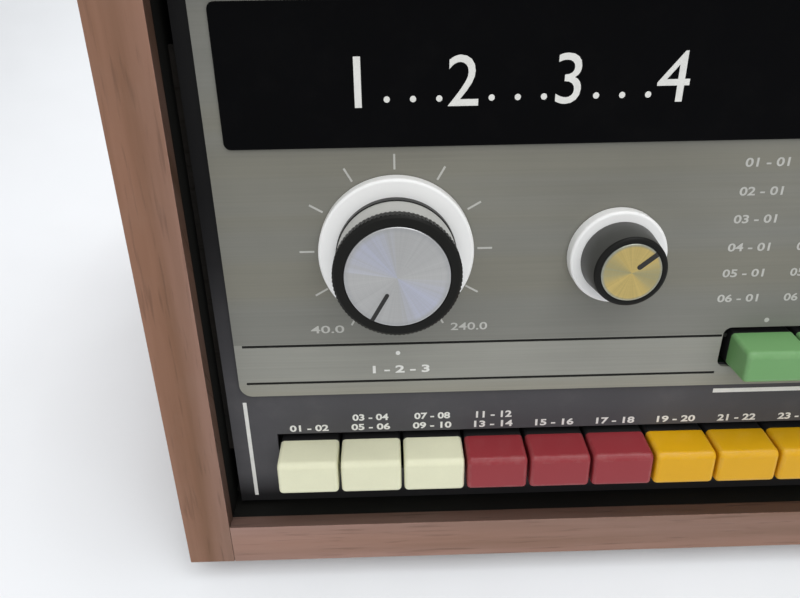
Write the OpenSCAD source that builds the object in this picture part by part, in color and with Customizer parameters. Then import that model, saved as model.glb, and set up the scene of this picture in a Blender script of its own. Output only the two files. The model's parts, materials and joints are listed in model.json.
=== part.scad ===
// Preset rhythm machine in a wooden case with a sloping, recessed front panel.
//
// The case frame: X runs to the right, Y from the front to the back, Z up.
// The origin lies under the middle of the case, on the surface it stands on.
// The panel frame: u runs right from the left wall of the opening, v runs up
// the slope from the lower wall, and w stands square out of the fascia.

/* [Wooden case] */
// Thickness of the two side boards
side_t = 15; // [12:0.5:20]
// Width of the wooden edge that frames the opening at the top and the bottom
edge_w = 15; // [14:0.5:18]
// Tilt of the front panel from the horizontal
slope = 60; // [58:1:64]
// Depth of the case from its front corner to its back edges
case_depth = 170; // [164:1:210]
// Height of the wooden edges above the fascia
edge_proud = 9; // [7:0.5:11]
// Depth of the front rail's upper face, square to the panel
lip_l = 16; // [14:0.5:18]
// Thickness of the base board
base_t = 9; // [7:0.5:10]
// Side of the square blocks in the back corners
block_s = 18; // [14:1:24]
// Radius of a rubber foot
foot_r = 11; // [8:0.5:14]
// Height of a rubber foot
foot_h = 8; // [6:0.5:14]
// Distance of a foot's centre from the case's front, back and sides
foot_inset = 30; // [26:1:40]

/* [Rear panel] */
// Distance of the rear panel's face from the back edges of the case
rear_inset = 14; // [13:0.5:20]
// Thickness of the rear panel
rear_t = 3; // [2:0.5:5]
// Gap round the rear panel
rear_gap = 0.4; // [0.2:0.1:1]
// Height of the row of sockets above the base board
socket_z = 58; // [48:1:80]
// Distance between two jack sockets
jack_pitch = 26; // [22:1:32]
// Distance of the first jack socket from the left wall
jack_x = 50; // [40:1:80]
// Radius of a jack socket's bore, for a 6.35 mm plug
jack_bore_r = 3.25; // [3.2:0.01:3.4]
// Distance of the cord gland from the right wall
gland_x = 40; // [34:1:60]
// Radius of the bore of the cord gland
gland_bore_r = 3.6; // [3:0.1:4.5]
// Distance between the cord gland and the fuse holder
fuse_pitch = 34; // [28:1:50]
// Length of a ventilation slot
vent_l = 34; // [20:1:50]
// Width of a ventilation slot
vent_w = 3; // [2:0.1:3.5]
// Distance between two ventilation slots
vent_pitch = 9; // [7:0.5:12]

/* [Front panel] */
// Thickness of the steel chassis panel
chassis_t = 1.5; // [1:0.1:2]
// Gap between the chassis panel and the wooden walls
panel_gap = 2.5; // [2:0.1:3]
// Depth of the side flanges behind the chassis panel
flange_l = 12; // [11:0.5:16]
// Thickness of the brushed fascia plate
fascia_t = 1.2; // [0.8:0.1:1.6]
// Margin of dark panel at the sides of and above the fascia
fascia_margin = 7.3; // [5:0.1:9]
// Height of dark panel below the fascia
fascia_v = 45.4; // [44:0.1:50]
// Length of the fascia up the slope
fascia_l = 118.3; // [116:0.1:130]
// Radius of the fascia's corners
fascia_r = 4; // [2:0.5:6]
// Length of the glossy window up the slope
window_l = 36; // [30:0.5:40]
// Distance of the window from the fascia's edges
window_margin = 4.8; // [3:0.1:8]
// Thickness of the glossy window
window_t = 0.8; // [0.6:0.1:1]
// Radius of the window's corners
window_r = 3.5; // [2:0.5:5]
// Width of an engraved line
line_w = 0.9; // [0.5:0.1:1.2]
// Depth of an engraved line
line_d = 0.3; // [0.2:0.05:0.5]
// Radius of the beat lamp's lens
lamp_r = 4; // [3:0.1:5]
// Height of the beat lamp's lens
lamp_h = 3.2; // [2:0.1:5]

/* [Keys] */
// Distance between two keys
key_pitch = 20; // [18:0.1:22]
// Gap between two keys
key_gap = 0.9; // [0.6:0.1:1.4]
// Distance of the rows of keys from the side walls
row_margin = 17.7; // [17:0.1:22]
// Height of the lower keys' bottom edge up the slope
row_v = 15.3; // [15:0.1:17]
// Length of a key up the slope, where it leaves the panel
key_l = 14; // [13:0.1:14.5]
// Length of a key's front face up the slope
key_face_l = 11.3; // [10:0.1:12]
// Height of a key's front face above the fascia
key_h = 11.2; // [9:0.1:13]
// Bevel along a key's front edges
key_bevel = 0.7; // [0.3:0.1:1]
// Travel of a key when it is pressed
key_travel = 4.5; // [3:0.1:5]
// Gap between the lower keys and the start bar
bar_space = 10; // [9:0.1:14]
// Width of the start bar
bar_w = 52.6; // [46:0.1:70]
// Distance of the first upper key from the left wall
upper_u = 159; // [150:0.1:165]
// Height of the upper keys' bottom edge up the slope
upper_v = 52.7; // [52:0.1:54]
// Length of an upper key up the slope
upper_l = 12.6; // [12:0.1:14]
// Free space between the upper keys and the ends of their slot
slot_end = 2.4; // [1:0.1:3]
// Clearance between a key and its slot
slot_gap = 0.6; // [0.4:0.05:0.8]
// Radius of a key's plunger
plunger_r = 2.5; // [2:0.1:3]
// Depth of a key bank behind its front wall
bank_d = 9.2; // [8:0.1:10]
// Thickness of a key bank's sheet
bank_t = 1.5; // [1:0.1:1.6]

/* [Knobs] */
// Distance of the large knobs from the side walls
large_u = 57; // [52:0.1:62]
// Height of the large knobs up the slope
large_v = 93.6; // [90:0.1:96]
// Radius of the white disc under a large knob
large_disc_r = 21.8; // [20:0.1:24]
// Thickness of the white disc under a large knob
large_disc_t = 4.2; // [4:0.1:6]
// Radius of a large knob
large_r = 16.8; // [15:0.1:18]
// Height of a large knob's top above the fascia
large_h = 20.3; // [18:0.1:24]
// Radius of the spun cap on a large knob
large_cap_r = 13.9; // [12:0.1:14.4]
// Distance of the small knob from the left wall
small_u = 119.8; // [112:0.1:124]
// Height of the small knob up the slope
small_v = 91.1; // [88:0.1:96]
// Radius of the white disc under the small knob
small_disc_r = 13.8; // [12.6:0.1:16]
// Thickness of the white disc under the small knob
small_disc_t = 4; // [3.8:0.1:5]
// Radius of the small knob at its foot
small_r = 11; // [10.6:0.1:12]
// Height of the small knob's top above the fascia
small_h = 14.6; // [13:0.1:18]
// Radius of the small knob at its top
small_top_r = 9.9; // [9.6:0.1:10.5]
// Radius of the spun cap on the small knob
small_cap_r = 8.3; // [7:0.1:8.6]
// Thickness of a spun cap
cap_t = 1.4; // [1:0.1:2]
// Radius of a control's shaft
shaft_r = 3; // [2.5:0.1:3]
// Radius of a control's threaded bush
bush_r = 4.5; // [4.2:0.1:5]

/* [Electronics] */
// Width of the circuit board
board_w = 210; // [160:1:230]
// Free space before and behind the circuit board
board_gap = 4; // [2:0.5:8]
// Thickness of the circuit board
board_t = 1.6; // [1:0.1:2]
// Height of the pillars under the circuit board
pillar_h = 8; // [5:0.5:12]
// Radius of a pillar
pillar_r = 3.2; // [2.8:0.1:4]
// Distance of the circuit board from the left wall
board_u = 22; // [20:1:30]
// Width of the transformer's core
core_w = 54; // [40:1:60]
// Depth of the transformer's core
core_d = 28; // [20:1:34]
// Height of the transformer's core
core_h = 45; // [34:1:52]
// Distance of the transformer's core from the right wall
core_gap = 36; // [30:1:50]

/* [Screws] */
// Radius of a wood screw's shank
screw_r = 1.6; // [1.2:0.1:2]
// Radius of a wood screw's head
screw_head_r = 3.2; // [2.8:0.1:4]
// Height of a wood screw's head
screw_head_h = 1.8; // [1.2:0.1:2.4]
// Length of a wood screw below its head
screw_l = 13; // [11:0.5:16]

/* [Hidden] */

$fn = 64;

// Names and colours of the lower keys, from left to right
LOWER_KEYS = [
    ["cream_key_1", "cream"], ["cream_key_2", "cream"], ["cream_key_3", "cream"],
    ["crimson_key_1", "crimson"], ["crimson_key_2", "crimson"],
    ["crimson_key_3", "crimson"],
    ["yellow_key_1", "yellow"], ["yellow_key_2", "yellow"],
    ["yellow_key_3", "yellow"],
    ["green_key_1", "green"], ["green_key_2", "green"], ["green_key_3", "green"],
    ["cream_key_4", "cream"], ["cream_key_5", "cream"], ["cream_key_6", "cream"]
];
UPPER_KEYS = ["upper_key_1", "upper_key_2", "upper_key_3", "upper_key_4"];

// Clearances: round a screw, round a bush, of a running shaft, round moving discs
screw_gap = 0.05;
bush_gap = 0.1;
run_gap = 0.05;
disc_gap = 0.3;

// Rows of keys
lower_row_w = len(LOWER_KEYS) * key_pitch;
upper_row_w = len(UPPER_KEYS) * key_pitch;
bar_u = row_margin + lower_row_w + bar_space;

// Opening of the case
opening_w = bar_u + bar_w + row_margin;
opening_l = fascia_v + fascia_l + fascia_margin;

// Case outline
case_w = opening_w + 2 * side_t;
face_l = opening_l + 2 * edge_w;
case_h = face_l * sin(slope);
top_y = face_l * cos(slope);
top_t = edge_w * sin(slope);
rail_y = edge_w * cos(slope) + lip_l * sin(slope);
rear_y = case_depth - rear_inset;
block_y = rear_y - rear_t - block_s;
inner_z = foot_h + base_t;
inner_h = case_h - base_t - top_t;

// Corner of the panel frame, at the lower left of the opening
panel_y = edge_w * cos(slope) + edge_proud * sin(slope);
panel_z = foot_h + edge_w * sin(slope) - edge_proud * cos(slope);

// Depths behind the fascia's face
chassis_w = -fascia_t;
back_w = chassis_w - chassis_t;
cap_back = back_w - key_travel - 0.6;
bank_w = cap_back - key_travel - 0.6;
bank_end = bank_w - bank_d;

// Top edge of the chassis panel, a gap below the underside of the top board
under_z = foot_h + case_h - top_t;
chassis_top = (under_z - panel_z - chassis_w * cos(slope)) / sin(slope) - panel_gap;

// Places of the controls, as [u, v]
volume_u = opening_w - large_u;
TEMPO = [large_u, large_v];
PATTERN = [small_u, small_v];
VOLUME = [volume_u, large_v];
LAMP = [opening_w - small_u, small_v];

// Window and engraved lines
fascia_top = fascia_v + fascia_l;
window_v = fascia_top - window_margin - window_l;
slot_u = upper_u - slot_end;
slot_w = upper_row_w + 2 * slot_end;
slot_r = 2.5;
line_end = 2.4;
LINES_V = [fascia_v + 4.2, upper_v + upper_l - 2.6];

// Controls
nut_t = 2;
nut_r = 6.6;
bush_h = nut_t + 0.4;
nest_r = nut_r + 0.9;
nest_h = bush_h + disc_gap;
pot_r = 12;
pot_d = 10;
switch_r = 14;
switch_d = 14;
shaft_in = 8;
lamp_stem_r = lamp_r - 0.6;
lamp_rim_r = lamp_r + 1.8;
lamp_rim_t = 1.1;
lamp_stem_l = 12;

// Chassis screws and packing strips
strip_v = 22;
strip_l = opening_l - 2 * strip_v;
strip_d = flange_l - 2;
flange_screw_w = back_w - flange_l / 2;
FLANGE_SCREWS = [0.15, 0.5, 0.85];

// Key banks
bank_low = row_v + 1.4;
bank_len = key_l + 2.4;
upper_bank_low = upper_v - 1.2;
upper_bank_len = upper_l + 2.4;
cheek_gap = 2.2;
bar_plunger = bar_w / 3;
spring_r = plunger_r + 1.2;
spring_l = 3.6;
plunger_end = 0.6;
plunger_v = key_face_l * 0.62;

// Electronics
bank_back_y = panel_y + (bank_low + bank_len) * cos(slope) - bank_end * sin(slope);
plunger_back_y = panel_y + (row_v + plunger_v + plunger_r) * cos(slope)
    - (bank_end - plunger_end - key_travel) * sin(slope);
board_y = max(bank_back_y, plunger_back_y) + board_gap;
board_d = block_y - board_gap - board_y;
board_x = -case_w / 2 + side_t + board_u;
part_margin = 15;
can_r = [5, 3, 3];
can_h = [14, 9, 9];
chip = [19, 7, 4];
bead_r = 2.2;
bead_h = 5;
pillar_inset = 6;
pillar_hole_r = 1.4;
board_z = inner_z + pillar_h;
core_x = case_w / 2 - side_t - core_w - core_gap;
coil_over = 11;
coil_in = 12;
coil_lift = 8;
tab_l = 12;
tab_t = 1.5;
core_y = block_y - core_d - coil_over - board_gap;

// Sockets on the rear panel
jack_body = [16, 22, 20];
jack_end = 1.5;
vent_rise = 34;
vents = 9;
jack_nut_r = 7;
jack_nut_t = 2.5;
jack_collar_r = 4.8;
jack_collar_l = 6.5;
gland_r = 7;
gland_neck_r = 5.6;
gland_lip = 3;
gland_out = 8;
fuse_r = 6.2;
fuse_flange_r = 8;
fuse_out = 11;
fuse_in = 28;

// Puts children, given in the panel frame, in their place in the case
module on_panel() {
    translate([-opening_w / 2, panel_y - case_depth / 2, panel_z])
        rotate([slope, 0, 0])
            children();
}

// Puts children, given with the case's front corner at Y 0, in their place
module in_case() {
    translate([0, -case_depth / 2, 0])
        children();
}

// Extrudes a (Y, Z) outline along X, from x to x + w
module along_x(x, w) {
    translate([x, 0, 0])
        rotate([90, 0, 90])
            linear_extrude(height = w)
                children();
}

// Rectangle with round corners of true arcs
module round_rect(w, l, r) {
    translate([r, 0])
        square([w - 2 * r, l]);
    translate([0, r])
        square([w, l - 2 * r]);
    for (x = [r, w - r], y = [r, l - r])
        translate([x, y])
            circle(r = r);
}

// Wood screw along -Z, its head on Z 0
module wood_screw(l = screw_l) {
    cylinder(r = screw_head_r, h = screw_head_h);
    translate([0, 0, -l])
        cylinder(r = screw_r, h = l + 0.2);
}

// Hole for a wood screw along -Z, from above Z 0
module screw_hole(l = screw_l) {
    translate([0, 0, -l - 0.1])
        cylinder(r = screw_r + screw_gap, h = l + 0.2);
}

// Places of the screws through the flanges, each along the panel's u axis
module at_flange_screws(side) {
    for (f = FLANGE_SCREWS) {
        v = strip_v + f * strip_l;
        u = side < 0 ? panel_gap + chassis_t : opening_w - panel_gap - chassis_t;
        translate([u, v, flange_screw_w])
            rotate([0, -90 * side, 0])
                children();
    }
}

// Places of the screws through the rear panel, each along the Y axis
module at_rear_screws() {
    half = opening_w / 2 - block_s / 2;
    for (x = [-half, half], z = [inner_z + block_s / 2, inner_z + inner_h - block_s / 2])
        translate([x, rear_y, z])
            rotate([-90, 0, 0])
                children();
}

// Places of the feet
module at_feet() {
    for (x = [-1, 1], y = [foot_inset, case_depth - foot_inset])
        translate([x * (case_w / 2 - foot_inset), y, 0])
            children();
}

module side_board(side) {
    x = side < 0 ? -case_w / 2 : case_w / 2 - side_t;
    color("sienna")
        difference() {
            in_case()
                along_x(x, side_t)
                    polygon([[0, foot_h], [top_y, foot_h + case_h],
                             [case_depth, foot_h + case_h], [case_depth, foot_h]]);
            on_panel()
                at_flange_screws(side)
                    screw_hole();
        }
}

module top_board() {
    y0 = (face_l - edge_w) * cos(slope);
    z1 = foot_h + case_h;
    color("sienna")
        in_case()
            along_x(-opening_w / 2, opening_w)
                polygon([[y0, z1 - top_t], [top_y, z1],
                         [case_depth, z1], [case_depth, z1 - top_t]]);
}

module base_board() {
    color("sienna")
        in_case()
            difference() {
                along_x(-opening_w / 2, opening_w)
                    polygon([[rail_y, foot_h], [rail_y, inner_z],
                             [case_depth, inner_z], [case_depth, foot_h]]);
                at_feet()
                    translate([0, 0, foot_h])
                        cylinder(r = screw_r + screw_gap, h = base_t - 1);
                at_pillars()
                    translate([0, 0, -base_t + 2])
                        cylinder(r = pillar_hole_r + screw_gap, h = base_t);
            }
}

module front_rail() {
    ey = edge_w * cos(slope);
    ez = foot_h + edge_w * sin(slope);
    color("peru")
        in_case()
            along_x(-opening_w / 2, opening_w)
                polygon([[0, foot_h], [ey, ez],
                         [rail_y, ez - lip_l * cos(slope)], [rail_y, foot_h]]);
}

module corner_blocks() {
    color("burlywood")
        in_case()
            difference() {
                for (x = [-opening_w / 2, opening_w / 2 - block_s],
                     z = [inner_z, inner_z + inner_h - block_s])
                    translate([x, block_y, z])
                        cube([block_s, block_s, block_s]);
                at_rear_screws()
                    screw_hole();
            }
}

// Places of the sockets on the rear panel, as distances along X
function jack_places() = [for (k = [0 : 3]) -opening_w / 2 + jack_x + k * jack_pitch];
gland_place = opening_w / 2 - gland_x;
fuse_place = gland_place - fuse_pitch;
socket_h = inner_z + socket_z;

module rear_panel() {
    color("dimgray")
        in_case()
            difference() {
                translate([-opening_w / 2 + rear_gap, rear_y - rear_t, inner_z + rear_gap])
                    cube([opening_w - 2 * rear_gap, rear_t, inner_h - 2 * rear_gap]);
                at_rear_screws()
                    screw_hole();
                for (x = jack_places())
                    rear_hole(x, jack_collar_r + bush_gap);
                rear_hole(gland_place, gland_neck_r + bush_gap);
                rear_hole(fuse_place, fuse_r + bush_gap);
                for (k = [0 : vents - 1])
                    translate([(k - (vents - 1) / 2) * vent_pitch - vent_w / 2,
                               rear_y - rear_t - 1, socket_h + vent_rise - vent_l / 2])
                        cube([vent_w, rear_t + 2, vent_l]);
            }
}

module rear_hole(x, r) {
    translate([x, rear_y - rear_t - 1, socket_h])
        rotate([-90, 0, 0])
            cylinder(r = r, h = rear_t + 2);
}

module case_screws() {
    color("silver")
        in_case() {
            at_rear_screws()
                wood_screw();
            at_feet()
                translate([0, 0, foot_h / 2])
                    rotate([180, 0, 0])
                        wood_screw(foot_h / 2 + base_t - 2);
        }
}

module rubber_feet() {
    color("black")
        in_case()
            at_feet()
                difference() {
                    cylinder(r1 = foot_r - 1.5, r2 = foot_r, h = foot_h);
                    translate([0, 0, -1])
                        cylinder(r = screw_head_r + 0.6, h = foot_h / 2 + 1);
                    translate([0, 0, foot_h / 2 - 1])
                        cylinder(r = screw_r + screw_gap, h = foot_h);
                }
}

// Cuts for the keys, as 2-D outlines in the panel frame
module lower_slots() {
    v0 = row_v - slot_gap;
    l = key_l + 2 * slot_gap;
    translate([row_margin - slot_gap, v0])
        square([lower_row_w + 2 * slot_gap, l]);
    translate([bar_u - slot_gap, v0])
        square([bar_w + 2 * slot_gap, l]);
}

module upper_slot() {
    translate([slot_u, upper_v - slot_gap])
        round_rect(slot_w, upper_l + 2 * slot_gap, slot_r);
}

module control_holes() {
    for (p = [TEMPO, PATTERN, VOLUME])
        translate(p)
            circle(r = bush_r + bush_gap);
    translate(LAMP)
        circle(r = lamp_stem_r + bush_gap);
}

module chassis_panel() {
    w = opening_w - 2 * panel_gap;
    l = chassis_top - panel_gap;
    color("darkslategray")
        on_panel()
            difference() {
                union() {
                    translate([panel_gap, panel_gap, back_w])
                        cube([w, l, chassis_t]);
                    for (u = [panel_gap, opening_w - panel_gap - chassis_t])
                        translate([u, strip_v, back_w - flange_l])
                            cube([chassis_t, strip_l, flange_l + chassis_t / 2]);
                }
                translate([0, 0, back_w - 1])
                    linear_extrude(height = chassis_t + 2) {
                        lower_slots();
                        upper_slot();
                        control_holes();
                    }
                at_flange_screws(-1)
                    screw_hole();
                at_flange_screws(1)
                    screw_hole();
            }
}

module packing_strips() {
    color("burlywood")
        on_panel()
            difference() {
                for (u = [0, opening_w - panel_gap])
                    translate([u, strip_v, back_w - flange_l])
                        cube([panel_gap, strip_l, strip_d]);
                at_flange_screws(-1)
                    screw_hole();
                at_flange_screws(1)
                    screw_hole();
            }
}

module chassis_screws() {
    color("silver")
        on_panel()
            for (side = [-1, 1])
                at_flange_screws(side)
                    wood_screw();
}

module fascia_plate() {
    color("lightgray")
        on_panel()
            difference() {
                translate([fascia_margin, fascia_v, -fascia_t])
                    linear_extrude(height = fascia_t)
                        round_rect(opening_w - 2 * fascia_margin, fascia_l, fascia_r);
                translate([0, 0, -fascia_t - 1])
                    linear_extrude(height = fascia_t + 2) {
                        upper_slot();
                        control_holes();
                    }
                for (v = LINES_V) {
                    left = fascia_margin + line_end;
                    engraved_line(left, slot_u - 0.2 - left, v);
                    right = slot_u + slot_w + 0.2;
                    engraved_line(right, opening_w - left - right, v);
                }
            }
}

module engraved_line(u, w, v) {
    translate([u, v, -line_d])
        cube([w, line_w, line_d + 1]);
}

module name_window() {
    margin = fascia_margin + window_margin;
    color("black")
        on_panel()
            translate([margin, window_v, 0])
                linear_extrude(height = window_t)
                    round_rect(opening_w - 2 * margin, window_l, window_r);
}

module beat_lamp() {
    color("red")
        on_panel()
            translate([LAMP.x, LAMP.y, 0]) {
                cylinder(r = lamp_rim_r, h = lamp_rim_t);
                cylinder(r1 = lamp_r, r2 = lamp_r - 1.2, h = lamp_h);
                translate([0, 0, -lamp_stem_l])
                    cylinder(r = lamp_stem_r, h = lamp_stem_l + 0.5);
            }
}

// Threaded bush and body of a control behind the panel, with a blind shaft hole
module control_body(r, d, tags) {
    difference() {
        union() {
            translate([0, 0, back_w - d])
                cylinder(r = r, h = d);
            translate([0, 0, back_w - 0.5])
                cylinder(r = bush_r, h = bush_h - back_w + 0.5);
            for (k = [0 : tags - 1])
                rotate([0, 0, -90 + (k - (tags - 1) / 2) * 24])
                    translate([r - 0.5, -1, back_w - d / 2])
                        cube([5, 2, 1]);
        }
        translate([0, 0, -shaft_in - run_gap])
            cylinder(r = shaft_r + run_gap, h = shaft_in + bush_h + 2);
    }
}

module potentiometers() {
    color("silver")
        on_panel()
            for (p = [TEMPO, VOLUME])
                translate(p)
                    control_body(pot_r, pot_d, 3);
}

module pattern_switch() {
    color("tan")
        on_panel()
            translate(PATTERN)
                control_body(switch_r, switch_d, 7);
}

module control_nuts() {
    color("silver")
        on_panel()
            for (p = [TEMPO, PATTERN, VOLUME])
                translate(p)
                    difference() {
                        cylinder(r = nut_r, h = nut_t, $fn = 6);
                        translate([0, 0, -1])
                            cylinder(r = bush_r + run_gap, h = nut_t + 2);
                    }
}

// White disc that turns with a knob, hollow below for the nut and the bush
module knob_disc(p, r, t) {
    edge = 0.8;
    color("white")
        on_panel()
            translate([p.x, p.y, disc_gap])
                rotate_extrude()
                    polygon([[shaft_r + run_gap, t], [r - edge, t], [r, t - edge], [r, 0],
                             [nest_r, 0], [nest_r, nest_h - disc_gap],
                             [shaft_r + run_gap, nest_h - disc_gap]]);
}

// Knob turned from foot to top, with a seat for its cap and a blind shaft hole
module knob_body(p, foot, top, cap_r, z0, z1) {
    seat = z1 - cap_t + 0.2;
    hole = seat - 2.5;
    color("dimgray")
        on_panel()
            translate([p.x, p.y, 0])
                rotate_extrude()
                    polygon([[shaft_r + run_gap, z0], [foot, z0], [top, z1 - 0.6],
                             [top - 0.6, z1], [cap_r + run_gap, z1], [cap_r + run_gap, seat],
                             [0, seat], [0, hole], [shaft_r + run_gap, hole]]);
}

module knob_cap(p, r, z1) {
    seat = z1 - cap_t + 0.2;
    color("gainsboro")
        on_panel()
            translate([p.x, p.y, seat])
                cylinder(r = r, h = cap_t);
}

module control_shaft(p, z1) {
    top = z1 - cap_t + 0.2 - 2.5 - run_gap;
    color("gray")
        on_panel()
            translate([p.x, p.y, -shaft_in])
                cylinder(r = shaft_r, h = shaft_in + top);
}

module large_disc(p) {
    knob_disc(p, large_disc_r, large_disc_t);
}

module large_knob(p) {
    knob_body(p, large_r, large_r, large_cap_r, disc_gap + large_disc_t, large_h);
}

module small_disc(p) {
    knob_disc(p, small_disc_r, small_disc_t);
}

module small_knob(p) {
    knob_body(p, small_r, small_top_r, small_cap_r, disc_gap + small_disc_t, small_h);
}

// Cap and plungers of a key: w wide, l long, with plungers at the given places
module key(u, v, w, l, plungers, paint) {
    face = l - (key_l - key_face_l);
    color(paint)
        on_panel() {
            translate([0, v, 0])
                along_x(u + key_gap / 2, w - key_gap)
                    polygon([[0, cap_back], [0, key_h - key_bevel], [key_bevel, key_h],
                             [face - key_bevel, key_h - 0.35],
                             [face, key_h - 0.35 - key_bevel], [l, 0], [l, cap_back]]);
            for (du = plungers)
                translate([u + w / 2 + du, v + plunger_v, bank_end - plunger_end])
                    cylinder(r = plunger_r, h = cap_back - bank_end + plunger_end + 0.2);
        }
}

module lower_key(k) {
    key(row_margin + k * key_pitch, row_v, key_pitch, key_l, [0], LOWER_KEYS[k][1] == "cream"
        ? "lemonchiffon" : LOWER_KEYS[k][1] == "yellow" ? "orange" : LOWER_KEYS[k][1]);
}

module upper_key(k) {
    key(upper_u + k * key_pitch, upper_v, key_pitch, upper_l, [0], "mediumseagreen");
}

module start_bar() {
    key(bar_u - key_gap / 2, row_v, bar_w + key_gap, key_l,
        [-bar_plunger / 2, bar_plunger / 2], "ivory");
}

// Places of all plungers, as [u, v]
function lower_plungers() = concat(
    [for (k = [0 : len(LOWER_KEYS) - 1])
        [row_margin + (k + 0.5) * key_pitch, row_v + plunger_v]],
    [for (s = [-1, 1]) [bar_u + bar_w / 2 + s * bar_plunger / 2, row_v + plunger_v]]);
function upper_plungers() =
    [for (k = [0 : len(UPPER_KEYS) - 1])
        [upper_u + (k + 0.5) * key_pitch, upper_v + plunger_v]];

// Folded frame behind a row of keys, with cheeks that reach the chassis panel
module key_bank(u0, u1, v0, l, cheeks, plungers) {
    difference() {
        union() {
            translate([u0, v0, bank_end])
                cube([u1 - u0, l, bank_d]);
            for (u = cheeks)
                translate([u, v0, bank_w - 0.5])
                    cube([bank_t, l, back_w - bank_w + 0.5]);
        }
        translate([u0 + bank_t, v0 + bank_t, bank_end + bank_t])
            cube([u1 - u0 - 2 * bank_t, l - 2 * bank_t, bank_d - 2 * bank_t]);
        for (p = plungers)
            translate([p.x, p.y, bank_end - 1])
                cylinder(r = plunger_r + run_gap, h = bank_d + 2);
    }
}

module lower_key_bank() {
    u0 = row_margin - cheek_gap - bank_t;
    u1 = opening_w - row_margin + cheek_gap + bank_t;
    middle = bar_u - bar_space / 2 - bank_t / 2;
    color("goldenrod")
        on_panel()
            key_bank(u0, u1, bank_low, bank_len, [u0, middle, u1 - bank_t], lower_plungers());
}

module upper_key_bank() {
    u0 = upper_u - slot_end - bank_t - 1;
    u1 = upper_u + upper_row_w + slot_end + bank_t + 1;
    color("goldenrod")
        on_panel()
            key_bank(u0, u1, upper_bank_low, upper_bank_len, [u0, u1 - bank_t],
                     upper_plungers());
}

module key_springs() {
    color("silver")
        on_panel()
            for (p = concat(lower_plungers(), upper_plungers()))
                translate([p.x, p.y, bank_end + bank_t])
                    difference() {
                        cylinder(r = spring_r, h = spring_l);
                        translate([0, 0, -1])
                            cylinder(r = plunger_r + 0.4, h = spring_l + 2);
                    }
}

// Places of the pillars under the circuit board
module at_pillars() {
    for (x = [pillar_inset, board_w - pillar_inset], y = [pillar_inset, board_d - pillar_inset])
        translate([board_x + x, board_y + y, inner_z])
            children();
}

module circuit_board() {
    color("darkgreen")
        in_case()
            difference() {
                translate([board_x, board_y, board_z])
                    cube([board_w, board_d, board_t]);
                at_pillars()
                    cylinder(r = pillar_hole_r + screw_gap, h = pillar_h + board_t + 1);
            }
}

module board_components() {
    top = board_z + board_t;
    cans = 9;
    chips = 4;
    row_w = board_w - 2 * part_margin;
    can_pitch = row_w / cans;
    color("royalblue")
        in_case()
            translate([board_x + part_margin, board_y, top]) {
                for (k = [0 : cans - 1])
                    translate([(k + 0.5) * can_pitch, board_d * 0.78, 0])
                        cylinder(r = can_r[k % 3], h = can_h[k % 3]);
                for (k = [0 : chips - 1])
                    translate([(k + 0.2) * row_w / chips, board_d * 0.44, 0])
                        cube(chip);
                for (k = [0 : 2 * cans - 1])
                    translate([(k + 0.5) * can_pitch / 2, board_d * 0.18, 0])
                        cylinder(r = bead_r, h = bead_h);
            }
}

module board_pillars() {
    color("gold")
        in_case()
            at_pillars() {
                cylinder(r = pillar_r, h = pillar_h);
                translate([0, 0, -base_t + 2])
                    cylinder(r = pillar_hole_r, h = base_t);
                cylinder(r = pillar_hole_r, h = pillar_h + board_t + 0.2);
                translate([0, 0, pillar_h + board_t])
                    cylinder(r = pillar_r - 0.4, h = 1.6);
            }
}

module transformer() {
    color("sandybrown")
        in_case()
            translate([core_x, core_y, inner_z]) {
                cube([core_w, core_d, core_h]);
                translate([coil_in, -coil_over, coil_lift])
                    cube([core_w - 2 * coil_in, core_d + 2 * coil_over, core_h - 2 * coil_lift]);
                translate([-tab_l, 4, 0])
                    cube([core_w + 2 * tab_l, core_d - 8, tab_t]);
            }
}

module jack_sockets() {
    color("dimgray")
        in_case()
            for (x = jack_places())
                translate([x, rear_y - rear_t, socket_h])
                    difference() {
                        union() {
                            translate([-jack_body.x / 2, -jack_body.y, -jack_body.z / 2])
                                cube(jack_body);
                            rotate([-90, 0, 0]) {
                                translate([0, 0, -0.5])
                                    cylinder(r = jack_collar_r, h = jack_collar_l + 0.5);
                                translate([0, 0, rear_t])
                                    cylinder(r = jack_nut_r, h = jack_nut_t, $fn = 6);
                            }
                        }
                        translate([0, -jack_body.y + jack_end, 0])
                            rotate([-90, 0, 0])
                                cylinder(r = jack_bore_r, h = jack_body.y + jack_collar_l);
                    }
}

module cord_gland() {
    neck = rear_t + 2 * bush_gap;
    color("black")
        in_case()
            translate([gland_place, rear_y, socket_h])
                rotate([-90, 0, 0])
                    rotate_extrude()
                        polygon([[gland_bore_r, gland_out], [gland_neck_r - 0.6, gland_out],
                                 [gland_r, gland_lip], [gland_r, 0], [gland_neck_r, 0],
                                 [gland_neck_r, -rear_t], [gland_r, -rear_t],
                                 [gland_r, -neck - gland_lip], [gland_bore_r, -neck - gland_lip]]);
}

module fuse_holder() {
    color("black")
        in_case()
            translate([fuse_place, rear_y, socket_h])
                rotate([-90, 0, 0]) {
                    cylinder(r = fuse_flange_r, h = 2);
                    cylinder(r = fuse_r - 0.2, h = fuse_out);
                    translate([0, 0, -fuse_in])
                        cylinder(r = fuse_r, h = fuse_in + 1);
                }
}

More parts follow.
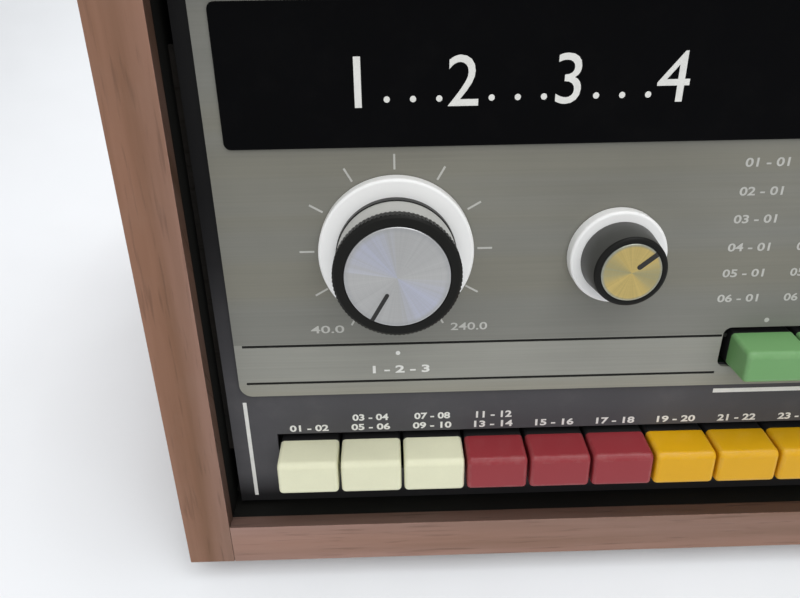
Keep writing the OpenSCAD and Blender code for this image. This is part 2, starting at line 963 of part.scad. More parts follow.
side_board(-1);  // left_side_board
side_board(1);  // right_side_board
top_board();
base_board();
front_rail();
corner_blocks();
rear_panel();
case_screws();
rubber_feet();
chassis_panel();
packing_strips();
chassis_screws();
fascia_plate();
name_window();
beat_lamp();
potentiometers();
pattern_switch();
control_nuts();
lower_key_bank();
upper_key_bank();
key_springs();
circuit_board();
board_components();
board_pillars();
transformer();
jack_sockets();
cord_gland();
fuse_holder();
for (k = [0 : len(LOWER_KEYS) - 1])
    lower_key(k);
start_bar();
for (k = [0 : len(UPPER_KEYS) - 1])
    upper_key(k);
large_disc(TEMPO);  // tempo_disc
large_knob(TEMPO);  // tempo_knob
knob_cap(TEMPO, large_cap_r, large_h);  // tempo_cap
control_shaft(TEMPO, large_h);  // tempo_shaft
small_disc(PATTERN);  // pattern_disc
small_knob(PATTERN);  // pattern_knob
knob_cap(PATTERN, small_cap_r, small_h);  // pattern_cap
control_shaft(PATTERN, small_h);  // pattern_shaft
large_disc(VOLUME);  // volume_disc
large_knob(VOLUME);  // volume_knob
knob_cap(VOLUME, large_cap_r, large_h);  // volume_cap
control_shaft(VOLUME, large_h);  // volume_shaft
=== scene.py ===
import json
import math

import bmesh
import bpy
from mathutils import Matrix, Vector

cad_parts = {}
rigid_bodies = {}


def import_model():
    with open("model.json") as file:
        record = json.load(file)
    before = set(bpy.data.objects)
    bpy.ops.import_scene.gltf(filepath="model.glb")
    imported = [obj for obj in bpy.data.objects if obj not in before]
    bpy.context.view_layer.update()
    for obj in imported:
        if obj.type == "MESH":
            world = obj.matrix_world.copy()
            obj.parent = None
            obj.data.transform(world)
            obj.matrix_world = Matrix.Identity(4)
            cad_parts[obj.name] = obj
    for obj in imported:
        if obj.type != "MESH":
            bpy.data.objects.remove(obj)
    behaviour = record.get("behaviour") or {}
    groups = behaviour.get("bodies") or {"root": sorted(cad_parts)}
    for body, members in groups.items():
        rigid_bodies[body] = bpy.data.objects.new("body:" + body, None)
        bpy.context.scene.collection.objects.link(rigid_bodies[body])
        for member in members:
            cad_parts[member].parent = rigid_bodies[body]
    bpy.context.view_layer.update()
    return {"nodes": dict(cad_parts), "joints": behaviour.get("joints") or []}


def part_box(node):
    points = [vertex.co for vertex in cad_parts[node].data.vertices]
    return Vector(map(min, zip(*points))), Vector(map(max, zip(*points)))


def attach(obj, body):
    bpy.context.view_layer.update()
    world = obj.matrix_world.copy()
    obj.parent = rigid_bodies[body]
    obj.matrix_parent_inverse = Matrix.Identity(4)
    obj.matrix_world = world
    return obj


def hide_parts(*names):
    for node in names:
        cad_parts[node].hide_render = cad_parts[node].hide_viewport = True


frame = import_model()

bl_info = {
    "name": "Preset rhythm machine",
    "version": (1, 0, 0),
    "blender": (4, 5, 0),
    "location": "View3D > Sidebar > Rhythm",
    "description": "Dresses the packed rhythm machine: boards, panel, keys, knobs and prints",
    "category": "Object",
}

NODES = frame["nodes"]
JOINTS = {joint["name"]: joint for joint in frame["joints"]}
MM = 0.001
# Millimetres within which two places count as one
NEAR = 0.01
# Angle over which an edge is shaded sharp
CREASE = math.radians(32)
CASE = Matrix.Scale(MM, 4)

# The panel frame: u to the right, v up the slope, w out of the fascia, in millimetres
TEMPO_U, TEMPO_V = 57.0, 93.6
PANEL_W = -Vector(JOINTS["tempo_turn"]["axis"]).normalized()
PANEL_U = Vector((1, 0, 0))
PANEL_V = PANEL_W.cross(PANEL_U)
SLOPE = math.atan2(PANEL_V.z, PANEL_V.y)
PANEL_ZERO = (Vector(JOINTS["tempo_turn"]["pos_m"])
              - PANEL_U * TEMPO_U * MM - PANEL_V * TEMPO_V * MM)
TURN = Matrix((PANEL_U, PANEL_V, PANEL_W)).transposed()
PANEL = Matrix.Translation(PANEL_ZERO) @ TURN.to_4x4() @ Matrix.Scale(MM, 4)
FROM_CASE = PANEL.inverted()
ALONG_PANEL = (-SLOPE, 0.0, 0.0)

# Keeps the scene's materials apart from the record's slots of the same names
FINISH = "finish_"

# Height over the fascia below which the recess walls are painted black as painted shade, and of
# the chassis panel
PAINTED_SHADE_W = 4.0
CHASSIS_W = -1.2
# Engraved lines: middle, width and depth
LINES_V = (50.05, 63.15)
LINE_WIDTH = 1.2
LINE_DEPTH = 0.3
# Keys: back, height of the black foot, upper slope, gap above it, tilt of the face, plungers
CAP_BACK = -7.8
KEY_FOOT_W = -0.4
KEY_SLOPE = 2.7
KEY_SHORT = 1.6
FACE_DROP = 0.35
PLUNGER_R = 2.5
PLUNGER_V = 7.006
PLUNGER_ROUND = 0.4
# Knobs: bore for the shaft, hollow for the nut, and the cap's seat
BORE_R = 3.05
NUT_R, NUT_TOP = 7.5, 2.7
SEAT_DEPTH, SEAT_FLOOR = 1.2, 2.5
# Prints: height of the small numbers, the rows they stand in, the keys with a second row,
# the dots under the tempo row and the table, the beat scale, and the painted frame
PRINT_H = 2.5
NUMBER_V, SECOND_V = 31.9, 35.6
TWO_LINE_KEYS = (1, 2, 3, 11, 13)
TEMPO_ROW_V, TEMPO_DOT_V = 54.2, 59.9
TABLE_V = (116.7, 108.6, 100.5, 92.0, 83.9, 75.8)
TABLE_LEFT, TABLE_DOT_V = 10.4, 68.2
BEAT_U, BEAT_PITCH, BEAT_V, BEAT_H, BEAT_DOT_V = 48.0, 27.0, 139.5, 12.5, 135.2
FRAME_U, FRAME_V, FRAME_WIDTH = 7.3, (4.9, 42.4), 1.2
RULE_V = (41.7, 43.2)
# Metres from the middle at which the floor grows duller, and fades out
DULL_REACH = (0.29, 0.47)
FADE_REACH = (0.7, 2.6)

THREE_KEYS = (("cream", 1), ("crimson", 1), ("yellow", 1), ("green", 1), ("cream", 4))
LOWER_KEYS = [(f"{paint_name}_key_{first + step}", paint_name)
              for paint_name, first in THREE_KEYS for step in range(3)]
UPPER_KEYS = [f"upper_key_{place}" for place in range(1, 5)]


def number(name, description, default, **more):
    return bpy.props.FloatProperty(name=name, description=description, default=default, **more)


def length(name, description, default):
    return number(name, description, default, unit="LENGTH", precision=5)


def colour(name, description, default):
    return bpy.props.FloatVectorProperty(
        name=name, description=description, default=default, subtype="COLOR", size=3,
        min=0, max=1)


class RhythmCaseLook(bpy.types.PropertyGroup):
    edge_round: length("Edge round", "Round along the edges of the boards", 0.0003)
    metal_round: length("Metal round", "Round along the edges of small metal parts", 0.00025)
    foot_round: length("Foot round", "Round along the edges of the feet", 0.0007)
    walnut_light: colour("Walnut, light", "Pale bands of the veneer", (0.330, 0.202, 0.166))
    walnut_dark: colour("Walnut, dark", "Dark bands of the veneer", (0.168, 0.093, 0.058))
    # Darkness of the walnut copy on faces that look into the recess: painted shade
    painted_recess_shade: number("Painted recess shade", "Tone of the walnut inside the recess", 0.45,
                        min=0, max=1)
    rear_paint: colour("Rear paint", "Paint of the rear panel", (0.045, 0.043, 0.041))


class RhythmPanelLook(bpy.types.PropertyGroup):
    window_round: length("Window round", "Round along the window's front edge", 0.00035)
    window_corner: length("Window corner", "Radius of the window's corners", 0.0019)
    print_rise: length("Print rise", "Thickness of the printed ink", 0.00005)
    charcoal: colour("Charcoal", "Paint of the chassis panel", (0.062, 0.061, 0.066))
    fascia: colour("Fascia", "Colour of the brushed fascia", (0.212, 0.213, 0.191))
    band_tone: number("Band tone", "Brightness of the fascia's lower band", 1.42)
    window: colour("Window", "Colour of the glossy window", (0.0025, 0.0025, 0.003))
    faded_ink: colour("Faded ink", "Colour of the fine prints on the fascia", (0.52, 0.52, 0.49))
    ink: colour("Ink", "Colour of the printed numbers and lines", (0.80, 0.80, 0.77))


class RhythmKeyLook(bpy.types.PropertyGroup):
    side_round: length("Side round", "Round along the sides of a key", 0.0013)
    ridge_round: length("Ridge round", "Round along the ridge of a key", 0.0019)
    foot_round: length("Foot round", "Round along the lower front edge of a key", 0.0015)
    cream: colour("Cream", "Colour of the cream keys", (0.78, 0.78, 0.57))
    crimson: colour("Crimson", "Colour of the crimson keys", (0.29, 0.034, 0.042))
    yellow: colour("Yellow", "Colour of the yellow keys", (0.72, 0.38, 0.005))
    green: colour("Green", "Colour of the green keys", (0.165, 0.36, 0.14))


class RhythmKnobLook(bpy.types.PropertyGroup):
    rib_depth: length("Rib depth", "Depth of the ribs round a large knob", 0.00014)
    index_width: length("Index width", "Width of the index line on a large cap", 0.0011)
    disc: colour("Disc", "Colour of the discs under the knobs", (0.95, 0.955, 0.95))
    body: colour("Body", "Colour of the knobs", (0.010, 0.010, 0.009))
    collar: colour("Collar", "Colour of the ring round a large knob", (0.56, 0.56, 0.53))
    aluminium: colour("Aluminium", "Colour of the large caps", (0.62, 0.615, 0.605))
    # The gleam is a painted highlight and reflection on the large caps
    gleam: colour("Gleam", "Colour of the large caps along their gleam", (0.63, 0.645, 0.76))
    brass: colour("Brass", "Colour of the small cap", (0.76, 0.58, 0.22))
    # Darker painted reflection along the small cap's dull sides, laid as its gleam
    brass_dark_sheen: colour("Dark sheen", "Colour of the small cap along its dull sides", (0.44, 0.41, 0.24))


class RhythmStageLook(bpy.types.PropertyGroup):
    floor: colour("Floor", "Colour of the floor", (0.78, 0.80, 0.825))
    surround: number("Surround", "Tone of the floor away from the machine", 0.76, min=0, max=1)
    lens: number("Lens", "Focal length of the camera", 29.87, unit="CAMERA")
    ambient: number("Ambient", "Strength of the light from all sides", 0.61)
    lamp: number("Lamp", "Power that the lamps share", 7.5, unit="POWER")


# Nodes

def put(tree, kind, inputs=None, **settings):
    """Adds a node. An input is a value or another node's output."""
    made = tree.nodes.new(kind)
    for name, value in settings.items():
        setattr(made, name, value)
    for name, value in (inputs or {}).items():
        if isinstance(value, bpy.types.NodeSocket):
            tree.links.new(value, made.inputs[name])
        else:
            made.inputs[name].default_value = value
    return made


def calc(tree, operation, *values):
    return put(tree, "ShaderNodeMath", dict(enumerate(values)), operation=operation).outputs[0]


def vector(tree, operation, *values, out=0):
    return put(tree, "ShaderNodeVectorMath", dict(enumerate(values)),
               operation=operation).outputs[out]


def swing(tree, value, gain, base=1.0):
    """The base plus the gain times the value's distance from a half."""
    return calc(tree, "MULTIPLY_ADD", calc(tree, "SUBTRACT", value, 0.5), gain, base)


def remap(tree, value, low, high, to_low=0.0, to_high=1.0):
    return put(tree, "ShaderNodeMapRange",
               {0: value, 1: low, 2: high, 3: to_low, 4: to_high}).outputs[0]


def mix(tree, factor, first, second, blend="MIX"):
    return put(tree, "ShaderNodeMix", {0: factor, 6: first, 7: second},
               data_type="RGBA", blend_type=blend).outputs[2]


def noise(tree, where, scale, detail=2.0, rough=0.5):
    return put(tree, "ShaderNodeTexNoise",
               {"Vector": where, "Scale": scale, "Detail": detail,
                "Roughness": rough}).outputs[0]


def mapped(tree, where, scale=(1.0, 1.0, 1.0), rotation=(0, 0, 0), location=(0, 0, 0)):
    return put(tree, "ShaderNodeMapping",
               {"Vector": where, "Scale": scale, "Rotation": rotation,
                "Location": location}).outputs[0]


def tinted(tree, rgb, factor):
    """A colour made lighter or darker by a factor."""
    return put(tree, "ShaderNodeVectorMath", {0: rgb, "Scale": factor},
               operation="SCALE").outputs[0]


def paint(rgb):
    return (*rgb, 1.0)


# Effects

GREY = (0.5, 0.5, 0.5, 1.0)
AT_ZERO = (0.0, 0.0, 0.0)


def effect(name, takes, gives, fill):
    """Makes a node group once. takes is {socket: default}; fill returns the outputs given."""
    if name in bpy.data.node_groups:
        return bpy.data.node_groups[name]
    tree = bpy.data.node_groups.new(name, "ShaderNodeTree")
    kinds = {4: "NodeSocketColor", 3: "NodeSocketVector", 0: "NodeSocketFloat"}
    for label, value in takes.items():
        kind = kinds[0 if isinstance(value, float) else len(value)]
        tree.interface.new_socket(
            name=label, in_out="INPUT", socket_type=kind).default_value = value
    for label in gives:
        tree.interface.new_socket(
            name=label, in_out="OUTPUT", socket_type=kinds[4 if label == "Color" else 0])
    entry = tree.nodes.new("NodeGroupInput")
    leave = tree.nodes.new("NodeGroupOutput")
    for label, socket in fill(tree, entry.outputs).items():
        tree.links.new(socket, leave.inputs[label])
    return tree


def moulded_effect():
    """Cloudy tone, fine texture and handling marks on paint, plastic and plating."""
    def fill(tree, use):
        where, tone = use["Vector"], use["Tone"]
        cloud = noise(tree, where, use["Cloud Scale"], 3.0, 0.6)
        speck = noise(tree, where, use["Speck Scale"], 2.0, 0.6)
        smear = noise(tree, mapped(tree, where, (1.0, 2.3, 1.4)), 42.0, 4.0, 0.65)
        shade = swing(tree, speck, calc(tree, "MULTIPLY", tone, 0.6), swing(tree, cloud, tone))
        marks = remap(tree, smear, 0.45, 0.75)
        rough = calc(tree, "MULTIPLY_ADD", marks, use["Marks"], use["Roughness"])
        return {"Color": tinted(tree, use["Color"], shade),
                "Roughness": swing(tree, speck, 0.1, rough), "Height": speck}
    return effect(
        "Moulded surface",
        {"Vector": AT_ZERO, "Color": GREY, "Tone": 0.1, "Roughness": 0.4, "Marks": 0.1,
         "Cloud Scale": 60.0, "Speck Scale": 2500.0},
        ("Color", "Roughness", "Height"), fill)


def grain_effect():
    """Veneer bands, streaks and pores. The vector is already squeezed along the grain."""
    def fill(tree, use):
        where = use["Vector"]
        bands = noise(tree, vector(tree, "ADD", where, (0.02, 0.02, 0.02)), 38.0, 4.0, 0.55)
        sway = calc(tree, "MULTIPLY", noise(tree, where, 9.0), 64.0)
        streak = noise(tree, where, 260.0, 3.0, 0.6)
        pit = remap(tree, noise(tree, where, 900.0), 0.58, 0.72)
        tone = calc(tree, "MULTIPLY_ADD", calc(tree, "SINE", sway), 0.10,
                    remap(tree, bands, 0.3, 0.7))
        tone = put(tree, "ShaderNodeClamp", {0: swing(tree, streak, 0.7, tone)}).outputs[0]
        warm = remap(tree, noise(tree, where, 26.0), 0.42, 0.62)
        base = mix(tree, warm, mix(tree, tone, use["Dark"], use["Light"]),
                   (1.04, 0.90, 0.74, 1.0), "MULTIPLY")
        shade = calc(tree, "SUBTRACT", 1.0, calc(tree, "MULTIPLY", pit, use["Pores"]))
        return {"Color": tinted(tree, base, shade),
                "Roughness": calc(tree, "MULTIPLY_ADD", pit, 0.2, use["Roughness"]),
                "Height": calc(tree, "SUBTRACT", streak, pit)}
    return effect(
        "Wood grain",
        {"Vector": AT_ZERO, "Light": GREY, "Dark": GREY, "Pores": 0.2, "Roughness": 0.42},
        ("Color", "Roughness", "Height"), fill)


def brushed_effect():
    """Long fine lines of a brushed metal. The vector is already squeezed along the lines."""
    def fill(tree, use):
        where = use["Vector"]
        wide = noise(tree, where, 160.0, 3.0, 0.6)
        fine = noise(tree, where, 1400.0, 2.0, 0.7)
        line = calc(tree, "MULTIPLY_ADD", fine, 0.6, calc(tree, "MULTIPLY", wide, 0.4))
        aged = remap(tree, noise(tree, where, 70.0), 0.45, 0.62, 0.0, use["Age"])
        toned = mix(tree, aged, use["Color"], (1.0, 0.93, 0.76, 1.0), "MULTIPLY")
        return {"Color": tinted(tree, toned, swing(tree, line, use["Contrast"])),
                "Roughness": swing(tree, line, 0.3, use["Roughness"]), "Height": line}
    return effect(
        "Brushed lines",
        {"Vector": AT_ZERO, "Color": GREY, "Contrast": 0.3, "Roughness": 0.4, "Age": 0.4},
        ("Color", "Roughness", "Height"), fill)


def wear_effect():
    """Pale, broken wear where the mask marks an edge, and thin dust in the hollows of a noise."""
    def fill(tree, use):
        chips = remap(tree, noise(tree, use["Vector"], 330.0, 4.0, 0.7), 0.42, 0.62)
        worn = calc(tree, "MULTIPLY", calc(tree, "MULTIPLY", chips, use["Mask"]), use["Wear"])
        dust = remap(tree, noise(tree, use["Vector"], 75.0, 5.0, 0.7), 0.5, 0.8)
        film = calc(tree, "MULTIPLY", dust, use["Dust"])
        base = mix(tree, worn, use["Color"], use["Worn Color"])
        return {"Color": mix(tree, film, base, (0.45, 0.42, 0.38, 1.0))}
    return effect(
        "Edge wear and dust",
        {"Vector": AT_ZERO, "Color": GREY, "Worn Color": GREY, "Mask": 0.0, "Wear": 0.5,
         "Dust": 0.04},
        ("Color",), fill)


def turned_effect():
    """Rings of a spun disc, and a painted highlight: the gleam, a wedge of colour along one
    direction. The vector has its origin on the axis and z along it.
    """
    def fill(tree, use):
        flat = vector(tree, "MULTIPLY", use["Vector"], (1.0, 1.0, 0.0))
        radius = vector(tree, "LENGTH", flat, out=1)
        cast = put(tree, "ShaderNodeCombineXYZ", {0: radius}).outputs[0]
        rings = noise(tree, cast, 2600.0, 3.0, 0.7)
        arm = vector(tree, "NORMALIZE", flat)
        rays = noise(tree, arm, 7.0, 3.0, 0.7)
        lean = vector(tree, "DOT_PRODUCT", arm, use["Gleam Way"], out=1)
        gleam = swing(tree, rays, 0.7, calc(tree, "MULTIPLY", lean, lean))
        shade = swing(tree, rays, use["Rays"], swing(tree, rings, 0.22))
        rim = remap(tree, radius, use["Rim Start"], use["Rim End"])
        metal = mix(tree, remap(tree, gleam, 0.55, 1.1), use["Color"], use["Gleam Color"])
        return {"Color": tinted(tree, mix(tree, rim, metal, use["Rim Color"]), shade),
                "Height": rings}
    return effect(
        "Turned rings",
        {"Vector": AT_ZERO, "Color": GREY, "Rim Color": GREY, "Rim Start": 0.01,
         "Rim End": 0.02, "Gleam Color": GREY, "Gleam Way": (1.0, 0.0, 0.0), "Rays": 0.2},
        ("Color", "Height"), fill)


# Materials

def known(name):
    return bpy.data.materials.get(FINISH + name)


def surface(name, **constants):
    """A material with a Principled shader. Constants are set on the shader's own sockets."""
    made = bpy.data.materials.new(FINISH + name)
    made.use_nodes = True
    shader = made.node_tree.nodes["Principled BSDF"]
    for label, value in constants.items():
        shader.inputs[label.replace("_", " ")].default_value = value
    return made, made.node_tree, shader


def place_of(tree):
    return put(tree, "ShaderNodeTexCoord").outputs["Object"]


def colour_of(shader):
    return shader.inputs["Base Color"].links[0].from_socket


def connect(tree, shader, group, depth, inputs):
    """Feeds colour, roughness and height from an effect to the shader."""
    made = put(tree, "ShaderNodeGroup", inputs, node_tree=group)
    tree.links.new(made.outputs["Color"], shader.inputs["Base Color"])
    if "Roughness" in made.outputs:
        tree.links.new(made.outputs["Roughness"], shader.inputs["Roughness"])
    bump = put(tree, "ShaderNodeBump",
               {"Strength": 1.0, "Distance": depth, "Height": made.outputs["Height"]})
    tree.links.new(bump.outputs[0], shader.inputs["Normal"])


def worn_down(tree, shader, where, wear, dust, worn):
    """Adds wear along the marked edges, and dust."""
    edge = put(tree, "ShaderNodeAttribute", attribute_name="edge").outputs["Fac"]
    used = put(tree, "ShaderNodeGroup", {
        "Vector": where, "Color": colour_of(shader), "Mask": edge, "Worn Color": paint(worn),
        "Wear": wear, "Dust": dust}, node_tree=wear_effect())
    tree.links.new(used.outputs["Color"], shader.inputs["Base Color"])


def moulded(name, rgb, rough, tone, marks, cloud, speck, depth=1e-5, wear=0.0, dust=0.0,
            worn=(0.6, 0.6, 0.6), **constants):
    """Paint, plastic, rubber or plating with the moulded surface effect."""
    if known(name):
        return known(name)
    made, tree, shader = surface(name, **constants)
    where = place_of(tree)
    connect(tree, shader, moulded_effect(), depth, {
        "Vector": where, "Color": paint(rgb), "Tone": tone, "Roughness": rough,
        "Marks": marks, "Cloud Scale": cloud, "Speck Scale": speck})
    if wear or dust:
        worn_down(tree, shader, where, wear, dust, worn)
    return made


def wood(name, light, dark, turn=AT_ZERO, squeeze=(0.06, 1.0, 1.0), rough=0.42, pores=0.2,
         wear=0.3):
    """Veneer whose grain runs along the squeezed axis, after the turn."""
    if known(name):
        return known(name)
    made, tree, shader = surface(name, Specular_IOR_Level=0.3)
    where = mapped(tree, place_of(tree), rotation=turn)
    connect(tree, shader, grain_effect(), 6e-5, {
        "Vector": mapped(tree, where, squeeze), "Light": paint(light), "Dark": paint(dark),
        "Pores": pores, "Roughness": rough})
    worn_down(tree, shader, where, wear, 0.03, [min(1.0, part * 1.35) for part in light])
    return made


def brushed(name, rgb, squeeze, rough, contrast, turn=AT_ZERO, depth=8e-6, **constants):
    """Metal with fine lines along the squeezed axis, after the turn."""
    if known(name):
        return known(name)
    made, tree, shader = surface(name, **constants)
    where = mapped(tree, place_of(tree), rotation=turn)
    connect(tree, shader, brushed_effect(), depth, {
        "Vector": mapped(tree, where, squeeze), "Color": paint(rgb), "Contrast": contrast,
        "Roughness": rough})
    return made


def graded(made, stops, sharp=False):
    """Makes a material lighter or darker up the panel, and slightly uneven all over. stops are
    (millimetres, factor)."""
    tree = made.node_tree
    shader = tree.nodes["Principled BSDF"]
    where = mapped(tree, place_of(tree), rotation=ALONG_PANEL)
    height = put(tree, "ShaderNodeSeparateXYZ", {0: where}).outputs[1]
    zero, span = PANEL_ZERO.dot(PANEL_V), stops[-1][0] * MM
    ramp = put(tree, "ShaderNodeValToRGB", {0: remap(tree, height, zero, zero + span)})
    ramp.color_ramp.interpolation = "CONSTANT" if sharp else "LINEAR"
    points = ramp.color_ramp.elements
    while len(points) < len(stops):
        points.new(0.5)
    for point, (place, factor) in zip(points, stops):
        point.position = place * MM / span
        point.color = (factor / 2, factor / 2, factor / 2, 1.0)
    half = put(tree, "ShaderNodeRGBToBW", {0: ramp.outputs[0]}).outputs[0]
    uneven = remap(tree, noise(tree, place_of(tree), 17.0, 3.0, 0.55), 0.3, 0.7, 1.82, 2.14)
    tree.links.new(tinted(tree, colour_of(shader), calc(tree, "MULTIPLY", half, uneven)),
                   shader.inputs["Base Color"])


def spun(name, rgb, rim, centre, radius, gleam, clock, rays):
    """Spun metal with rings round the axis through centre. The gleam, a painted highlight in the
    colour, lies at a clock angle.
    """
    made, tree, shader = surface(name, Metallic=1.0, Roughness=0.3, Anisotropic=0.75)
    where = place_of(tree)
    back, turn = TURN.transposed(), math.radians(clock)
    local = mapped(tree, where, rotation=back.to_euler("XYZ"), location=-(back @ centre))
    connect(tree, shader, turned_effect(), 3e-6, {
        "Vector": local, "Color": paint(rgb), "Rim Color": paint(rim),
        "Rim Start": radius * 0.88, "Rim End": radius * 0.97, "Gleam Color": paint(gleam),
        "Gleam Way": (math.sin(turn), math.cos(turn), 0.0), "Rays": rays})
    around = vector(tree, "CROSS_PRODUCT", PANEL_W, vector(tree, "SUBTRACT", where, centre))
    shown = put(tree, "ShaderNodeVectorTransform", {0: around},
                vector_type="VECTOR", convert_from="OBJECT", convert_to="WORLD")
    tree.links.new(shown.outputs[0], shader.inputs["Tangent"])
    return made


def nickel():
    return moulded("nickel", (0.62, 0.61, 0.58), 0.24, 0.12, 0.12, 90.0, 1800.0, 4e-6,
                   Metallic=1.0)


def zinc():
    return moulded("zinc_plating", (0.55, 0.54, 0.50), 0.36, 0.22, 0.15, 120.0, 1500.0, 6e-6,
                   Metallic=1.0)


def black_plastic():
    return moulded("black_plastic", (0.018, 0.018, 0.019), 0.38, 0.25, 0.12, 70.0, 2600.0, 8e-6)


# Meshes

def pushed(bm, faces, along):
    """Extrudes faces along a vector."""
    made = bmesh.ops.extrude_face_region(bm, geom=faces)["geom"]
    bmesh.ops.translate(bm, vec=Vector(along),
                        verts=[part for part in made if isinstance(part, bmesh.types.BMVert)])


def prism(bm, outline, along):
    """Extrudes a flat outline along a vector."""
    pushed(bm, [bm.faces.new([bm.verts.new(point) for point in outline])], along)


def slab(bm, low, high, foot, along):
    """Extrudes the rectangle between two corners up from a height."""
    prism(bm, [(low[0], low[1], foot), (high[0], low[1], foot), (high[0], high[1], foot),
               (low[0], high[1], foot)], (0, 0, along))


def turned(bm, profile, steps):
    """Spins a closed outline of (radius, height) points round the z axis."""
    verts = [bm.verts.new((radius, 0, height)) for radius, height in profile]
    pairs = zip(verts, verts[1:] + verts[:1])
    edges = [bm.edges.new(pair) for pair in pairs if max(v.co.x for v in pair) > 0]
    before = set(bm.verts) - set(verts)
    bmesh.ops.spin(bm, geom=verts + edges, cent=(0, 0, 0), axis=(0, 0, 1), dvec=(0, 0, 0),
                   angle=math.tau, steps=steps, use_merge=True, use_duplicate=False)
    made = [v for v in bm.verts if v not in before]
    bmesh.ops.remove_doubles(bm, verts=made, dist=0.0005)


def rounded(bm, edges, width, segments=2):
    """Rounds edges, and marks the new faces for wear."""
    layer = bm.faces.layers.float.get("edge") or bm.faces.layers.float.new("edge")
    made = bmesh.ops.bevel(bm, geom=list(edges), offset=width, offset_type="OFFSET",
                           segments=segments, profile=0.5, affect="EDGES",
                           clamp_overlap=False, material=-1)
    for face in made["faces"]:
        face[layer] = 1.0


def sliced(bm, point, normal):
    """Cuts every face that a plane crosses in two."""
    bmesh.ops.bisect_plane(bm, geom=bm.verts[:] + bm.edges[:] + bm.faces[:], dist=1e-5,
                           plane_co=point, plane_no=normal)


def sharp_edges(bm, degrees=35, above=-math.inf, outside=0.0):
    """Edges that turn by more than an angle, above a height and outside a radius."""
    limit = math.radians(degrees)
    bm.normal_update()
    return [edge for edge in bm.edges
            if len(edge.link_faces) == 2 and edge.calc_face_angle(0) > limit
            and all(vert.co.z > above and vert.co.xy.length >= outside for vert in edge.verts)]


def second_material(bm, test):
    """Gives the second material to the faces whose middle passes a test."""
    for face in bm.faces:
        face.material_index = int(test(face.calc_center_median()))


def finished(bm, name, body, materials, replaced, place=None):
    """Makes the piece from its bmesh, with its place in the mesh, and puts it on its body."""
    if place is not None:
        bmesh.ops.transform(bm, matrix=place, verts=bm.verts)
    bmesh.ops.recalc_face_normals(bm, faces=bm.faces)
    mesh = bpy.data.meshes.new(name)
    bm.to_mesh(mesh)
    bm.free()
    mesh.polygons.foreach_set("use_smooth", [True] * len(mesh.polygons))
    mesh.set_sharp_from_angle(angle=CREASE)
    for material in materials:
        mesh.materials.append(material)
    piece = bpy.data.objects.new(name, mesh)
    bpy.context.scene.collection.objects.link(piece)
    even = piece.modifiers.new("even_shading", "WEIGHTED_NORMAL")
    even.keep_sharp = True
    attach(piece, body)
    if replaced:
        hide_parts(*replaced)


def joined(bm, other, place=None, material=0):
    """Adds another bmesh to this one, moved to its place and in one material."""
    for face in other.faces:
        face.material_index = material
    if place is not None:
        bmesh.ops.transform(other, matrix=place, verts=other.verts)
    bmesh.ops.recalc_face_normals(other, faces=other.faces)
    mesh = bpy.data.meshes.new("part")
    other.to_mesh(mesh)
    other.free()
    bm.from_mesh(mesh)
    bpy.data.meshes.remove(mesh)


def merged(node):
    """A copy of a CAD node's mesh, merged."""
    bm = bmesh.new()
    bm.from_mesh(NODES[node].data)
    bmesh.ops.remove_doubles(bm, verts=bm.verts, dist=1e-6)
    return bm


def node_copy(node, width, segments=2):
    """A merged copy of a CAD node's mesh with its sharp edges rounded."""
    bm = merged(node)
    bmesh.ops.dissolve_limit(bm, angle_limit=math.radians(0.6), verts=bm.verts, edges=bm.edges)
    rounded(bm, sharp_edges(bm), width, segments)
    return bm


def paint_node(node, material):
    """Gives a CAD node that stays its material."""
    kept = NODES[node]
    if not kept.material_slots:
        kept.data.materials.append(material)
    for holder in kept.material_slots:
        holder.material = material


def extent(points):
    """Lowest and highest corner of some points."""
    points = list(points)
    return [Vector([pick(point[k] for point in points) for k in range(3)])
            for pick in (min, max)]


def box_mm(node):
    low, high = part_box(node)
    return low / MM, high / MM


def panel_box(node):
    """Lowest and highest corner of a CAD node in the panel frame, in millimetres."""
    return extent(FROM_CASE @ vert.co for vert in NODES[node].data.vertices)


def islands(bm):
    """Groups of joined vertices."""
    left, found = set(bm.verts), []
    while left:
        stack, group = [left.pop()], []
        while stack:
            vert = stack.pop()
            group.append(vert)
            for edge in vert.link_edges:
                other = edge.other_vert(vert)
                if other in left:
                    left.discard(other)
                    stack.append(other)
        found.append(group)
    return found


# Case

def walnut(grain, shade=1.0):
    look = bpy.context.scene.rhythm_case
    turns = {"across": (AT_ZERO, (0.06, 1.0, 1.0)), "upright": (AT_ZERO, (1.0, 1.0, 0.06)),
             "sloping": (ALONG_PANEL, (1.0, 0.06, 1.0))}
    # A shade under 1 makes a darker copy of the walnut: painted shade for faces in the recess
    name = "walnut_" + grain + ("" if shade == 1.0 else "_inner")
    light = [part * shade for part in look.walnut_light]
    dark = [part * shade for part in look.walnut_dark]
    return wood(name, light, dark, *turns[grain])


